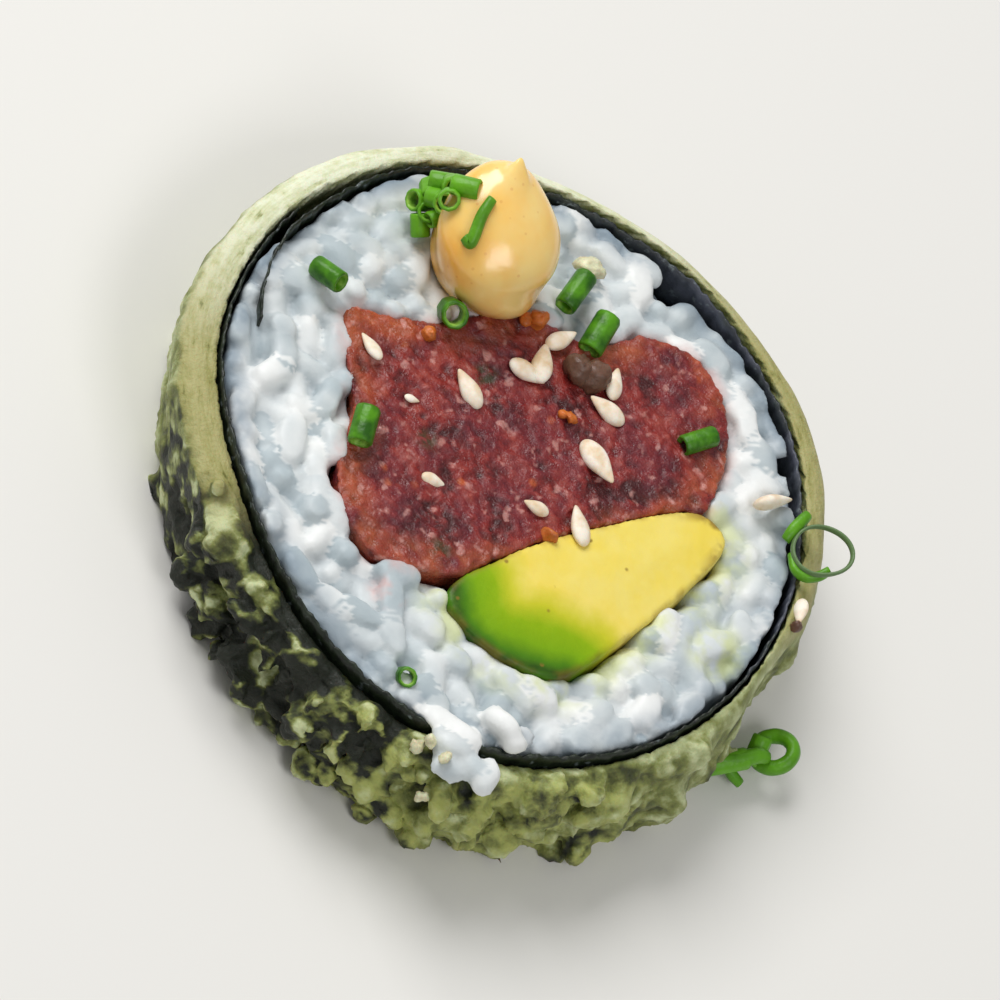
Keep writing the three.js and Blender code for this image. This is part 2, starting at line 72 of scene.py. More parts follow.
# Seaweed: radius of its outer face round the axis, every 30 degrees from +X.
SHEET_RADII = [23.9, 24.6, 25.5, 25.2, 24.5, 24.8, 24.9, 24.5, 23.2, 23.9, 24.6, 24.0]
SEAM_ANGLE = 203                    # where the sheet's inner end starts, to lie clockwise from there
SEAM_OVERLAP = 26
SEAM_MERGE = 56                     # degrees until the inner end meets the ring
SEAM_CURL = 2.5                     # how far that end turns in, into the rice
SEAM_BEND = 2                       # how sharply it does
SEAM_LAYER = 0.75

TUNA_OUTLINE = [
    (9.6, 2.0), (12.4, 11.0), (9.4, 17.6), (4.6, 20.2), (0.2, 18.2), (-2.6, 13.4), (-7.6, 10.6),
    (-12.0, 3.0), (-16.6, -2.0), (-11.0, -7.6), (-7.6, -13.4), (-2.2, -15.6), (3.6, -10.8), (6.8, -5.0),
]
AVOCADO_OUTLINE = [
    (16.0, 4.4), (15.3, 10.2), (12.6, 10.2), (8.2, 2.4), (5.0, -6.0), (3.9, -12.9), (6.0, -13.9),
    (9.8, -13.4), (13.9, -10.9), (15.5, -3.0),
]
AVOCADO_SKIN = [(3.6, -12.0), (6.2, -13.9), (9.8, -13.7), (14.5, -10.0)]   # the side next to its skin
AVOCADO_TIP = (14.2, 9.9)           # its bruised end

SAUCE_SECTION = [
    (0.0, 0.0), (3.3, 0.1), (4.3, 1.2), (4.9, 2.8), (5.05, 4.6), (4.85, 6.2), (4.3, 7.4), (3.4, 8.4),
    (2.3, 9.1), (1.3, 9.6), (0.7, 10.1), (0.0, 10.6),
]
SAUCE_PLACE = (-12.4, 10.4, 10.0)
SAUCE_DRAG = (-2.4, 3.1)            # how far the tip is pulled over
SAUCE_DRAG_FROM = 5.8               # height where the pull starts
SAUCE_BEND = 1.6                    # how sharply it grows from there
SAUCE_SHADE = 220                   # the side given painted shade, in degrees

# Sides of the crust, in degrees.
COARSE_ANGLE = 285                  # the coarsest crags
RIM_ANGLE = 130                     # the middle of the smooth pale rim
# Away from the palest side the rim is tinted darker and yellower: partly its own tint, partly painted shade.
PALE_ANGLE = 147                    # where the rim is palest
BARE_ANGLE = 258                    # where the dark sheet shows through
GOLDEN_ANGLE = 308                  # the thickest lumps of batter
SLIM_ANGLE = 230                    # where the wall is thin
WALL_LEAST = 0.15                   # how far the wall stands out from the sheet at the least
WALL_UNEVEN = 0.2                   # what waves add to that
WALL_MOST = 9.0                     # and at the most
WALL_SLIM = 3.4                     # at the most where it is thin
GAP_ANGLE = 60                      # the side where the rice stands off the sheet
RICE_GAPS = [(-1.9, 23.0, 2.4), (13.2, 19.6, 2.2)]     # hollows along the sheet: x, y, reach
SPILL = (14.0, -22.4)               # where grains lie over the rim
SPILL_REACH = 5.5
SPILLED_GRAINS = [                  # from there, and over the face
    (-1.4, 1.2, 0.6), (-1.5, -0.1, 0.5), (0.5, -0.3, 0.4), (1.7, 0.3, 0.4), (-0.4, -1.4, 0.0),
    (-0.1, 4.6, 0.5), (1.6, 5.0, 0.4),
]
HERB_FLECKS = [(-5.5, -4.7), (-6.2, 3.6), (1.2, -10.8)]      # dark green in the tuna
YELLOW_GRAINS = [(20.7, 2.4)]
PINK_GRAINS = [(0.9, -17.0)]
# Lumps of the wall with painted light on them, paler than the batter round them: x, y, z.
PAINTED_LIT_LUMPS = [
    (-11.9, -23.5, 10.0), (-9.9, -27.3, 4.0), (-12.9, -28.2, 6.0), (2.3, -25.7, 5.0), (-2.4, -24.6, 4.0),
    (9.5, -28.5, 4.0), (19.0, -19.3, 3.0), (22.3, -11.3, 3.0),
]

# Cut chives: x, y, height over what they rest on, turn and tilt in degrees, length, share of the radius.
CHIVES = [
    (-9.2, -9.0, 0.0, 121, 12, 2.9, 1.0), (8.4, 14.5, -0.5, 68, 8, 3.0, 0.85),
    (-2.6, 13.9, 0.0, 106, 15, 3.3, 1.05), (-19.4, -1.9, 0.0, -5, 25, 2.6, 1.0),
    (-11.1, 4.5, 0.0, -60, 50, 1.8, 1.15), (-6.2, 15.1, 0.0, 101, 12, 3.4, 0.95),
    (6.4, -21.0, -0.9, -70, 60, 1.4, 0.8),
]
# Heaped against the sauce, and at the foot of the crust: x, y, z, turn, tilt, length, share of the radius.
HEAPED_CHIVES = [
    (-16.4, 9.4, 18.2, 20, 30, 2.2, 0.85), (-16.7, 8.0, 17.4, -80, 45, 1.5, 0.9),
    (-17.5, 10.4, 15.6, -70, 45, 1.7, 1.0), (-18.5, 10.8, 14.4, 30, 25, 2.2, 0.9),
    (-18.8, 10.0, 13.5, -57, 20, 1.8, 0.95), (-19.0, 9.1, 12.9, 241, 15, 1.7, 0.9),
    (-17.8, 9.5, 14.4, 10, 40, 2.0, 0.85), (-17.1, 9.0, 15.4, -85, 40, 1.7, 0.95),
    (-17.9, 8.7, 13.0, -90, 60, 1.5, 0.85), (-17.7, 7.9, 12.3, 150, 30, 1.8, 0.75),
    (-17.0, 8.8, 13.6, 70, 10, 1.8, 0.7),
]
FOOT_CHIVES = [(26.4, 1.6, 2.6, 59, 12, 3.6, 0.9), (27.4, 4.9, 2.2, 120, 35, 2.4, 0.85)]
FOOT_ROOM = 3.2                     # how far round them the crust keeps back
FOOT_HEIGHT = 6.0                   # up to this height
FOOT_MOST = 3.1                     # to this distance from the sheet

# Strands of chive: their paths, x, y, z.
SAUCE_STRIP = [                     # lying on the sauce
    (-14.2, 9.7, 19.35), (-13.9, 8.3, 18.75), (-13.3, 7.0, 17.9), (-13.2, 6.5, 17.5), (-13.8, 6.5, 17.5),
]
LOOP_STEM = [(18.5, 13.9, 11.9), (18.4, 14.8, 12.4), (18.4, 15.9, 12.6), (18.4, 16.7, 12.7)]
LOOP_BRANCH = [
    (19.6, 13.4, 11.9), (20.6, 12.6, 12.0), (21.6, 12.7, 12.2), (22.3, 13.5, 12.5), (22.6, 14.4, 12.9),
]
FOOT_TUFT = [(25.4, 0.2, 2.6), (26.9, 2.2, 3.0), (27.8, 3.8, 3.3), (28.4, 4.6, 3.0)]
FOOT_SPRIG = [(26.0, 2.4, 2.2), (27.0, 2.0, 1.6), (28.2, 2.2, 1.2)]
STRANDS = [                         # each with its radius and how many points it is drawn with
    (SAUCE_STRIP, 0.5, 30), (LOOP_STEM, 0.5, 18), (LOOP_BRANCH, 0.42, 20), (FOOT_TUFT, 0.65, 20),
    (FOOT_SPRIG, 0.5, 12),
]
LOOP_MIDDLE, LOOP_REACH = (21.2, 14.9, 13.2), (2.2, 2.1, 0.9)      # the thin loop standing on the rim
RING_MIDDLE, RING_REACH = (28.4, 5.8, 2.5), (1.4, 1.4, 0.9)        # the thick ring at the foot

# Sesame seeds: x, y, height over what they rest on, turn and roll in degrees, size.
SEEDS = [
    (-13.4, -2.9, 0.0, 165, 10, 0.75), (-6.2, 1.4, -0.1, 167, -8, 1.0), (-4.2, 6.6, 0.0, 22, 6, 0.95),
    (-3.9, 8.2, 0.2, 121, -12, 1.05), (0.9, 12.2, 0.0, 117, 14, 0.9), (2.0, 9.9, 0.0, 196, -6, 1.0),
    (4.4, 5.8, 0.1, -16, 8, 1.2), (3.8, -1.6, 0.0, 208, -14, 0.66), (-2.9, -6.8, -0.4, 34, 10, 0.65),
    (-4.3, 11.2, 0.1, 76, -10, 0.9), (7.0, 0.4, 0.0, 141, 12, 1.02), (-8.5, -3.2, -0.2, 40, 0, 0.4),
    (15.7, 15.8, 0.5, 62, 90, 1.1), (23.1, 10.8, 0.0, -62, 40, 0.72),
]

# Small scraps: x, y, height over what they rest on, radius, and a tone from brown over orange to batter.
SCRAPS = [
    (-1.7, 10.2, 0.3, 1.5, 0.0), (-0.5, 10.9, 0.2, 1.1, 0.0), (-7.0, 17.9, 0.3, 1.1, 0.67),
    (-6.6, 10.7, 0.0, 0.9, 0.34), (0.4, 6.7, -0.1, 0.6, 0.34), (-7.2, 10.1, 0.0, 0.7, 0.34),
    (-11.3, 2.1, -0.1, 0.7, 0.34), (5.9, -2.3, -0.3, 0.65, 0.3), (11.2, -23.8, 0.2, 0.6, 0.67),
    (12.9, -24.3, 0.2, 0.55, 0.67), (10.6, -24.3, 0.1, 0.6, 0.67), (13.3, -25.4, 0.1, 0.55, 0.67),
    (23.7, 9.7, 0.0, 0.5, 0.0),
]

AIM = (-0.94, -2.87)                # middle of the slice as pictured, right and up from the face's middle
FLOOR_WIDTH = 3.0                   # in metres, as the lamps' sizes and places
KEY_LAMP = (0.45, (-0.50, 0.12, 0.56))
FILL_LAMP = (0.3, (0.40, -0.29, 0.62))


# ---------------------------------------------------------------- curves and places

def smooth_loop(corners, count):
    """Points of a closed centripetal Catmull-Rom curve, evenly spaced in its parameter."""
    corners = np.asarray(corners, float)
    place = np.arange(count) / count * len(corners)
    index = place.astype(int)
    p = [corners[(index + k) % len(corners)] for k in (-1, 0, 1, 2)]
    d = [np.sqrt(np.linalg.norm(p[k + 1] - p[k], axis=1))[:, None] for k in range(3)]
    leave = ((p[1] - p[0]) / d[0] - (p[2] - p[0]) / (d[0] + d[1])) * d[1] + p[2] - p[1]
    arrive = ((p[3] - p[2]) / d[2] - (p[3] - p[1]) / (d[1] + d[2])) * d[1] + p[2] - p[1]
    w = (place - index)[:, None]
    bend = -3 * p[1] + 3 * p[2] - 2 * leave - arrive
    return p[1] + leave * w + bend * w**2 + (2 * p[1] - 2 * p[2] + leave + arrive) * w**3


def ease(values, low, high):
    """0 below low, 1 above high and smooth between."""
    t = np.clip((np.asarray(values, float) - low) / (high - low), 0, 1)
    return t * t * (3 - 2 * t)


def ring_loop():
    angles = np.radians(np.arange(len(SHEET_RADII)) * 360 / len(SHEET_RADII))
    return smooth_loop(np.stack([np.cos(angles), np.sin(angles)], 1) * np.array(SHEET_RADII)[:, None], 720)


RING = ring_loop()
TUNA = smooth_loop(TUNA_OUTLINE, 240)
AVOCADO = smooth_loop(AVOCADO_OUTLINE, 200)


def roll_axis():
    """Where the axis meets the upper face: the seaweed ring's box gives the ring's middle."""
    low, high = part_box("seaweed_sheet")
    middle = np.array((low + high) / 2) / MM
    centre = (RING.min(0) + RING.max(0)) / 2
    return middle[:2] - centre - LEAN * (1 - middle[2] / HEIGHT)


AXIS = roll_axis()


def to_frame(points):
    """Points in millimetres about the roll's axis, in the frame in metres."""
    points = np.array(points, float)
    points[:, :2] += AXIS + LEAN * (1 - points[:, 2:] / HEIGHT)
    return points * MM


def from_frame(points):
    points = np.array(points, float) / MM
    points[:, :2] -= AXIS + LEAN * (1 - points[:, 2:] / HEIGHT)
    return points


def angles_of(places):
    """Angles of places round the roll's axis, in radians."""
    return np.arctan2(places[:, 1], places[:, 0])


def ring_radius(angles):
    """Radius of the seaweed's outer face at angles in radians."""
    around = angles_of(RING)
    order = np.argsort(around)
    return np.interp(angles, around[order], np.linalg.norm(RING, axis=1)[order], period=2 * math.pi)


def beyond_ring(points):
    """How far points lie outside the seaweed's outer face, in millimetres."""
    return np.linalg.norm(points[:, :2], axis=1) - ring_radius(angles_of(points))


def seam_inset(degrees):
    """How far the sheet lies inside the ring, at degrees from its inner end."""
    curl = np.clip(1 - degrees / SEAM_OVERLAP, 0, None) ** SEAM_BEND
    return SEAM_LAYER * (1 - ease(degrees, SEAM_OVERLAP, SEAM_MERGE)) + (SEAM_CURL - SEAM_LAYER) * curl


def past_seam(angles):
    """Degrees from the sheet's inner end on, for angles in radians."""
    return (SEAM_ANGLE - np.degrees(angles)) % 360


def toward(angles, degrees):
    """1 on the side at an angle in degrees and 0 opposite it, for angles in radians."""
    return 0.5 + 0.5 * np.cos(angles - math.radians(degrees))


def near(places, spots, full, none):
    """1 close to any of some spots on the face, fading to 0."""
    distance = np.min([np.linalg.norm(places[:, :2] - spot, axis=1) for spot in spots], axis=0)
    return 1 - ease(distance, full, none)


def line_distance(points, line, closed=False):
    """Distance of points to a line of corners."""
    line = np.asarray(line, float)
    starts, ends = (line, np.roll(line, -1, 0)) if closed else (line[:-1], line[1:])
    along = ends - starts
    offset = points[:, None, :2] - starts[None]
    share = np.clip((offset * along).sum(2) / (along**2).sum(1), 0, 1)
    return np.linalg.norm(offset - share[..., None] * along, axis=2).min(1)


def is_inside(points, loop):
    a, b = loop[None], np.roll(loop, -1, 0)[None]
    y = points[:, 1, None]
    crosses = (a[..., 1] > y) != (b[..., 1] > y)
    rise = np.where(crosses, b[..., 1] - a[..., 1], 1)
    at = (b[..., 0] - a[..., 0]) * (y - a[..., 1]) / rise + a[..., 0]
    return (crosses & (points[:, 0, None] < at)).sum(1) % 2 == 1


def inside_by(points, loop):
    """Distance of points to a closed outline, positive inside it."""
    return np.where(is_inside(points, loop), 1, -1) * line_distance(points, loop, closed=True)


def grown(loop, margin):
    """An anticlockwise outline moved outwards by a margin."""
    tangent = np.roll(loop, -1, 0) - np.roll(loop, 1, 0)
    tangent /= np.linalg.norm(tangent, axis=1)[:, None]
    return loop + margin * np.stack([tangent[:, 1], -tangent[:, 0]], 1)


def smooth_line(corners, count):
    """Points of a smooth line through all its corners."""
    corners = np.asarray(corners, float)
    share = np.linspace(0, len(corners) - 1, count)
    index = np.minimum(share.astype(int), len(corners) - 2)
    w = (share - index)[:, None]
    padded = np.vstack([2 * corners[0] - corners[1], corners, 2 * corners[-1] - corners[-2]])
    p = [padded[index + k] for k in range(4)]
    leave, arrive = (p[2] - p[0]) / 2, (p[3] - p[1]) / 2
    bend = -3 * p[1] + 3 * p[2] - 2 * leave - arrive
    return p[1] + leave * w + bend * w**2 + (2 * p[1] - 2 * p[2] + leave + arrive) * w**3


def waves(values, seed, sizes):
    """A smooth random wave, about -1 to 1, summed from waves of the given lengths."""
    rng = np.random.default_rng(seed)
    full = 2 * math.pi
    return sum(np.sin(values * full / size + rng.uniform(0, full)) for size in sizes) / len(sizes)


# ---------------------------------------------------------------- meshes

def new_piece(name, points, faces):
    """An object from points in metres in the frame, with its faces pointing out."""
    mesh = bpy.data.meshes.new(name)
    mesh.from_pydata([tuple(p) for p in points], [], [tuple(f) for f in faces])
    work = bmesh.new()
    work.from_mesh(mesh)
    bmesh.ops.recalc_face_normals(work, faces=work.faces)
    work.to_mesh(mesh)
    work.free()
    return linked(name, mesh)


def linked(name, mesh):
    piece = bpy.data.objects.new(name, mesh)
    bpy.context.scene.collection.objects.link(piece)
    return piece


def skin(rings, loop=False):
    """Points and faces of a closed skin over rings: joined in a loop, or capped by a fan at each end."""
    rings = np.asarray(rings, float)
    rows, columns = rings.shape[:2]
    i, j = np.meshgrid(np.arange(rows if loop else rows - 1), np.arange(columns), indexing="ij")
    square = ((0, 0), (0, 1), (1, 1), (1, 0))
    corners = [((i + di) % rows) * columns + (j + dj) % columns for di, dj in square]
    faces = np.stack(corners, -1).reshape(-1, 4).tolist()
    points = rings.reshape(-1, 3)
    if not loop:
        for end, row in enumerate((0, rows - 1)):
            hub = rows * columns + end
            faces += [(hub, row * columns + k, row * columns + (k + 1) % columns) for k in range(columns)]
        points = np.vstack([points, rings[0].mean(0), rings[-1].mean(0)])
    return points, faces


def prism(name, loop, bottom, top):
    """An upright solid with the given outline, between two heights."""
    rings = [np.column_stack([loop, np.full(len(loop), z)]) for z in (bottom, top)]
    points, faces = skin(rings)
    return new_piece(name, to_frame(points), faces)


def room_for(loop, margin):
    """A cutter for the room of a filling, from under the lower face to over the upper one."""
    return prism("Room", grown(loop, margin), -2.0, HEIGHT + 2.0)


def copied_node(node, name):
    """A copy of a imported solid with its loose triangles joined."""
    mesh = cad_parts[node].data.copy()
    work = bmesh.new()
    work.from_mesh(mesh)
    bmesh.ops.remove_doubles(work, verts=work.verts, dist=0.001 * MM)
    work.to_mesh(mesh)
    work.free()
    mesh.materials.clear()
    return linked(name, mesh)


def baked(piece):
    """Keeps what a piece's modifiers make as its plain mesh."""
    depsgraph = bpy.context.evaluated_depsgraph_get()
    source = piece.evaluated_get(depsgraph)
    mesh = bpy.data.meshes.new_from_object(source, preserve_all_data_layers=True, depsgraph=depsgraph)
    old = piece.data
    piece.modifiers.clear()
    piece.data = mesh
    bpy.data.meshes.remove(old)
    return piece


def remeshed(piece, voxel, smooth=0):
    """Gives a piece an even fine surface, in which what overlaps is fused."""
    remesh = piece.modifiers.new("Even surface", "REMESH")
    remesh.mode = "VOXEL"
    remesh.voxel_size = voxel
    if smooth:
        soften = piece.modifiers.new("Soften", "SMOOTH")
        soften.iterations = smooth
        soften.factor = 0.5
    return baked(piece)


def cut(piece, *cutters):
    for cutter in cutters:
        boolean = piece.modifiers.new("Cut", "BOOLEAN")
        boolean.operation = "DIFFERENCE"
        boolean.object = cutter
        boolean.solver = "EXACT"
    baked(piece)
    for cutter in cutters:
        discard(cutter)
    return piece


def discard(piece):
    mesh = piece.data
    bpy.data.objects.remove(piece)
    bpy.data.meshes.remove(mesh)


def places_of(piece):
    """A piece's corners, in millimetres about the roll's axis."""
    points = np.zeros(len(piece.data.vertices) * 3, np.float32)
    piece.data.vertices.foreach_get("co", points)
    return from_frame(points.reshape(-1, 3))


def normals_of(piece):
    normals = np.zeros(len(piece.data.vertices) * 3, np.float32)
    piece.data.vertices.foreach_get("normal", normals)
    return normals.reshape(-1, 3)


def move_corners(piece, places):
    piece.data.vertices.foreach_set("co", to_frame(places).astype(np.float32).ravel())
    piece.data.update()


def set_on_floor(piece):
    """Raises to the floor what reaches under it, and gives the piece's corners."""
    places = places_of(piece)
    places[:, 2] = np.maximum(places[:, 2], 0.0)
    move_corners(piece, places)
    return places


def keep(piece, name, values, kind="FLOAT"):
    """Stores a value for each corner under a name that trees and materials read."""
    values = np.asarray(values, np.float32)
    attribute = piece.data.attributes.new(name, kind, "POINT")
    attribute.data.foreach_set("value" if kind == "FLOAT" else "vector", values.ravel())


def dress(piece, material, node=None):
    """Finishes a piece: its material, smooth shading and body, and hides the solid it replaces."""
    piece.data.materials.clear()
    piece.data.materials.append(material)
    piece.data.shade_smooth()
    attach(piece, "root")
    if node:
        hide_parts(node)
    return piece


# ---------------------------------------------------------------- node trees

class Graph:
    """A node tree being built. A value given to a socket is a number, a colour or another socket."""

    def __init__(self, tree):
        self.tree = tree

    def feed(self, socket, value):
        if isinstance(value, bpy.types.NodeSocket):
            self.tree.links.new(value, socket)
        else:
            socket.default_value = value

    def node(self, kind, inputs=None, **settings):
        made = self.tree.nodes.new(kind)
        for name, value in settings.items():
            setattr(made, name, value)
        for socket, value in (inputs or {}).items():
            self.feed(made.inputs[socket], value)
        return made

    def math(self, operation, a, b=0.0, clamp=False):
        return self.node("ShaderNodeMath", {0: a, 1: b}, operation=operation, use_clamp=clamp).outputs[0]

    def times(self, a, b):
        return self.math("MULTIPLY", a, b)

    def minus(self, a, b):
        return self.math("SUBTRACT", a, b)

    def total(self, *values):
        whole = values[0]
        for value in values[1:]:
            whole = self.math("ADD", whole, value)
        return whole

    def vector(self, operation, a, b):
        return self.node("ShaderNodeVectorMath", {0: a, 1: b}, operation=operation).outputs[0]

    def scaled(self, vector, factor):
        return self.node("ShaderNodeVectorMath", {0: vector, "Scale": factor}, operation="SCALE").outputs[0]

    def noise(self, where, scale, detail=3.0, roughness=0.5):
        inputs = {"Vector": where, "Scale": scale, "Detail": detail, "Roughness": roughness}
        return self.node("ShaderNodeTexNoise", inputs).outputs[0]

    def cells(self, where, scale):
        return self.node("ShaderNodeTexVoronoi", {"Vector": where, "Scale": scale}).outputs[0]

    def span(self, value, low, high, to_low=0.0, to_high=1.0):
        """Maps low..high to to_low..to_high, held at both ends."""
        inputs = {"Value": value, "From Min": low, "From Max": high, "To Min": to_low, "To Max": to_high}
        return self.node("ShaderNodeMapRange", inputs).outputs[0]

    def ramp(self, factor, stops):
        """A colour for a value, from stops of a place and a colour."""
        made = self.node("ShaderNodeValToRGB", {"Fac": factor})
        while len(made.color_ramp.elements) < len(stops):
            made.color_ramp.elements.new(1.0)
        for element, (place, colour) in zip(made.color_ramp.elements, stops):
            element.position = place
            element.color = colour
        return made.outputs[0]

    def mix(self, factor, a, b, blend="MIX"):
        made = self.node("ShaderNodeMix", data_type="RGBA", blend_type=blend)
        for socket, value in ((made.inputs[0], factor), (made.inputs[6], a), (made.inputs[7], b)):
            self.feed(socket, value)
        return made.outputs[2]

    def colour(self, surface, value):
        self.feed(surface.inputs["Base Color"], value)

    def roughness(self, surface, value):
        self.feed(surface.inputs["Roughness"], value)

    def mesh_value(self, name):
        return self.node("ShaderNodeAttribute", attribute_name=name).outputs["Fac"]

    def mesh_vector(self, name):
        return self.node("ShaderNodeAttribute", attribute_name=name).outputs["Vector"]

    def random_vector(self, low, high, seed):
        """A random vector for each point, between two vectors."""
        made = self.node("FunctionNodeRandomValue", data_type="FLOAT_VECTOR")
        for socket, value in ((made.inputs[0], low), (made.inputs[1], high), (made.inputs["Seed"], seed)):
            self.feed(socket, value)
        return made.outputs[0]

    def stored(self, name, kind="FLOAT"):
        return self.node("GeometryNodeInputNamedAttribute", {"Name": name}, data_type=kind).outputs[0]


def shape_tree(name, inputs):
    """A Geometry Nodes tree with a geometry in and out and named inputs, and its inputs' sockets."""
    tree = bpy.data.node_groups.new(name, "GeometryNodeTree")
    tree.interface.new_socket("Geometry", in_out="INPUT", socket_type="NodeSocketGeometry")
    for label, kind in inputs.items():
        tree.interface.new_socket(label, in_out="INPUT", socket_type="NodeSocket" + kind)
    tree.interface.new_socket("Geometry", in_out="OUTPUT", socket_type="NodeSocketGeometry")
    graph = Graph(tree)
    return graph, graph.node("NodeGroupInput").outputs


def close_tree(graph, geometry, material):
    """Ends a tree in real meshes with a material."""
    real = graph.node("GeometryNodeRealizeInstances", {"Geometry": geometry}).outputs[0]
    finished = graph.node("GeometryNodeSetMaterial", {"Geometry": real, "Material": material}).outputs[0]
    graph.node("NodeGroupOutput", {"Geometry": finished})
    return graph.tree


def grown_by(piece, tree, values):
    """Runs a tree on a piece with values for its named inputs, and keeps the result as plain mesh."""
    modifier = piece.modifiers.new(tree.name, "NODES")
    modifier.node_group = tree
    for item in tree.interface.items_tree:
        if item.in_out == "INPUT" and item.name in values:
            modifier[item.identifier] = values[item.name]
    return baked(piece)


def laying_out_tree():
    """Sets a copy of one thing on each point, turned and sized as the point says."""
    graph, given = shape_tree("Laying out", {"Thing": "Object", "Material": "Material"})
    thing = graph.node("GeometryNodeObjectInfo", {"Object": given["Thing"]}).outputs["Geometry"]
    turn = graph.node("FunctionNodeEulerToRotation", {0: graph.stored("turn", "FLOAT_VECTOR")}).outputs[0]
    laid = graph.node("GeometryNodeInstanceOnPoints", {
        "Points": given["Geometry"],
        "Instance": thing,
        "Rotation": turn,
        "Scale": graph.stored("size", "FLOAT_VECTOR"),
    }).outputs[0]
    return close_tree(graph, laid, given["Material"])


RELIEF_PARTS = ("Swell", "Lump", "Ridge", "Grain")


def relief_tree():
    """Raises a surface along its normals by swellings, lumps, ridges and grain, and notes how far."""
    inputs = {f"{part} {what}": "Float" for part in RELIEF_PARTS for what in ("Size", "Height")}
    graph, given = shape_tree("Relief", inputs | {"Material": "Material"})
    where = graph.node("GeometryNodeInputPosition").outputs[0]
    scale = {part: graph.math("DIVIDE", 1.0, given[f"{part} Size"]) for part in RELIEF_PARTS}
    warp = graph.node("ShaderNodeTexNoise", {"Vector": where, "Scale": scale["Lump"], "Detail": 2.0})
    drift = graph.scaled(graph.vector("SUBTRACT", warp.outputs["Color"], (0.5, 0.5, 0.5)), given["Lump Size"])
    warped = graph.vector("ADD", where, drift)
    ridge = graph.math("ABSOLUTE", graph.minus(graph.noise(warped, scale["Ridge"], 2.0), 0.5))
    swell, grain = (graph.minus(graph.noise(where, scale[part], 2.0), 0.5) for part in ("Swell", "Grain"))
    shares = {   # each about -0.5 to 0.5
        "Swell": graph.times(swell, 2.0),
        "Lump": graph.minus(0.45, graph.cells(warped, scale["Lump"])),
        "Ridge": graph.times(graph.minus(0.1, ridge), 5.0),
        "Grain": graph.times(grain, 2.0),
    }
    heights = {part: graph.times(shares[part], given[f"{part} Height"]) for part in RELIEF_PARTS}
    fine = graph.total(heights["Lump"], heights["Ridge"], heights["Grain"])
    rise = graph.times(graph.total(heights["Swell"], fine), graph.stored("loose"))
    push = graph.scaled(graph.node("GeometryNodeInputNormal").outputs[0], rise)
    moved = graph.node("GeometryNodeSetPosition", {"Geometry": given["Geometry"], "Offset": push}).outputs[0]
    reach = graph.total(given["Lump Height"], given["Ridge Height"], given["Grain Height"])
    noted = graph.node("GeometryNodeStoreNamedAttribute", {
        "Geometry": moved,
        "Name": "relief",
        "Value": graph.total(graph.math("DIVIDE", fine, reach), 0.5),
    }, data_type="FLOAT", domain="POINT").outputs[0]
    return close_tree(graph, noted, given["Material"])


def raised(piece, material, **relief):
    """Runs the relief tree on a piece, given the size and height in metres of each of its parts."""
    values = {"Material": material}
    for part in RELIEF_PARTS:
        values[f"{part} Size"], values[f"{part} Height"] = relief[part.lower()]
    return grown_by(piece, relief_tree(), values)


def calming_tree():
    """Smooths a surface as far as its mark says."""
    graph, given = shape_tree("Calming", {"Rounds": "Int", "Material": "Material"})
    smoothed = graph.node("GeometryNodeBlurAttribute", {
        0: graph.node("GeometryNodeInputPosition").outputs[0],
        "Iterations": given["Rounds"],
        "Weight": graph.stored("calm"),
    }, data_type="FLOAT_VECTOR").outputs[0]
    moved = graph.node("GeometryNodeSetPosition", {"Geometry": given["Geometry"], "Position": smoothed})
    return close_tree(graph, moved.outputs[0], given["Material"])


def crumb_tree():
    """Scatters angular scraps over a surface, most where its mark says, and joins them to it."""
    inputs = {"Density": "Float", "Least": "Float", "Most": "Float", "Seed": "Int", "Material": "Material"}
    graph, given = shape_tree("Crumbs", inputs)
    spread = graph.node("GeometryNodeDistributePointsOnFaces", {
        "Mesh": given["Geometry"],
        "Density": graph.times(graph.stored("crumbs"), given["Density"]),
        "Seed": given["Seed"],
    }, distribute_method="RANDOM")
    scrap = graph.node("GeometryNodeMeshIcoSphere", {"Radius": 1.0, "Subdivisions": 1}).outputs[0]
    low, high = (graph.node("ShaderNodeCombineXYZ", {axis: given[size] for axis in range(3)}).outputs[0]
                 for size in ("Least", "Most"))
    laid = graph.node("GeometryNodeInstanceOnPoints", {
        "Points": spread.outputs["Points"],
        "Instance": scrap,
        "Rotation": spread.outputs["Rotation"],
        "Scale": graph.random_vector(low, high, given["Seed"]),
    }).outputs[0]
    joined = graph.node("GeometryNodeJoinGeometry", {"Geometry": laid})
    graph.tree.links.new(given["Geometry"], joined.inputs[0])
    return close_tree(graph, joined.outputs[0], given["Material"])


# ---------------------------------------------------------------- finishes

def tint(code):
    """A colour as Blender's own linear values, from its code as seen on a screen."""
    shares = [int(code[i:i + 2], 16) / 255 for i in (1, 3, 5)]
    return (*[s / 12.92 if s <= 0.04045 else ((s + 0.055) / 1.055) ** 2.4 for s in shares], 1.0)


def tint_setting(label, description, code):
    return FloatVectorProperty(
        name=label, description=description, default=tint(code), size=4, min=0, max=1, subtype="COLOR",
    )


def length_setting(label, description, millimetres):
    return FloatProperty(
        name=label, description=description, default=millimetres * MM, min=0, unit="LENGTH", precision=5,
    )


def finish(name, **shader):
    """A material with its shader's sockets set, and the graph that its colours are built in."""
    material = bpy.data.materials.new(name)
    material.use_nodes = True
    surface = material.node_tree.nodes["Principled BSDF"]
    for socket, value in shader.items():
        surface.inputs[socket.replace("_", " ")].default_value = value
    graph = Graph(material.node_tree)
    where = graph.node("ShaderNodeTexCoord").outputs["Object"]
    return material, graph, surface, where


def bumped(graph, surface, height, distance):
    bump = graph.node("ShaderNodeBump", {"Height": height, "Distance": distance, "Strength": 1.0})
    graph.feed(surface.inputs["Normal"], bump.outputs[0])


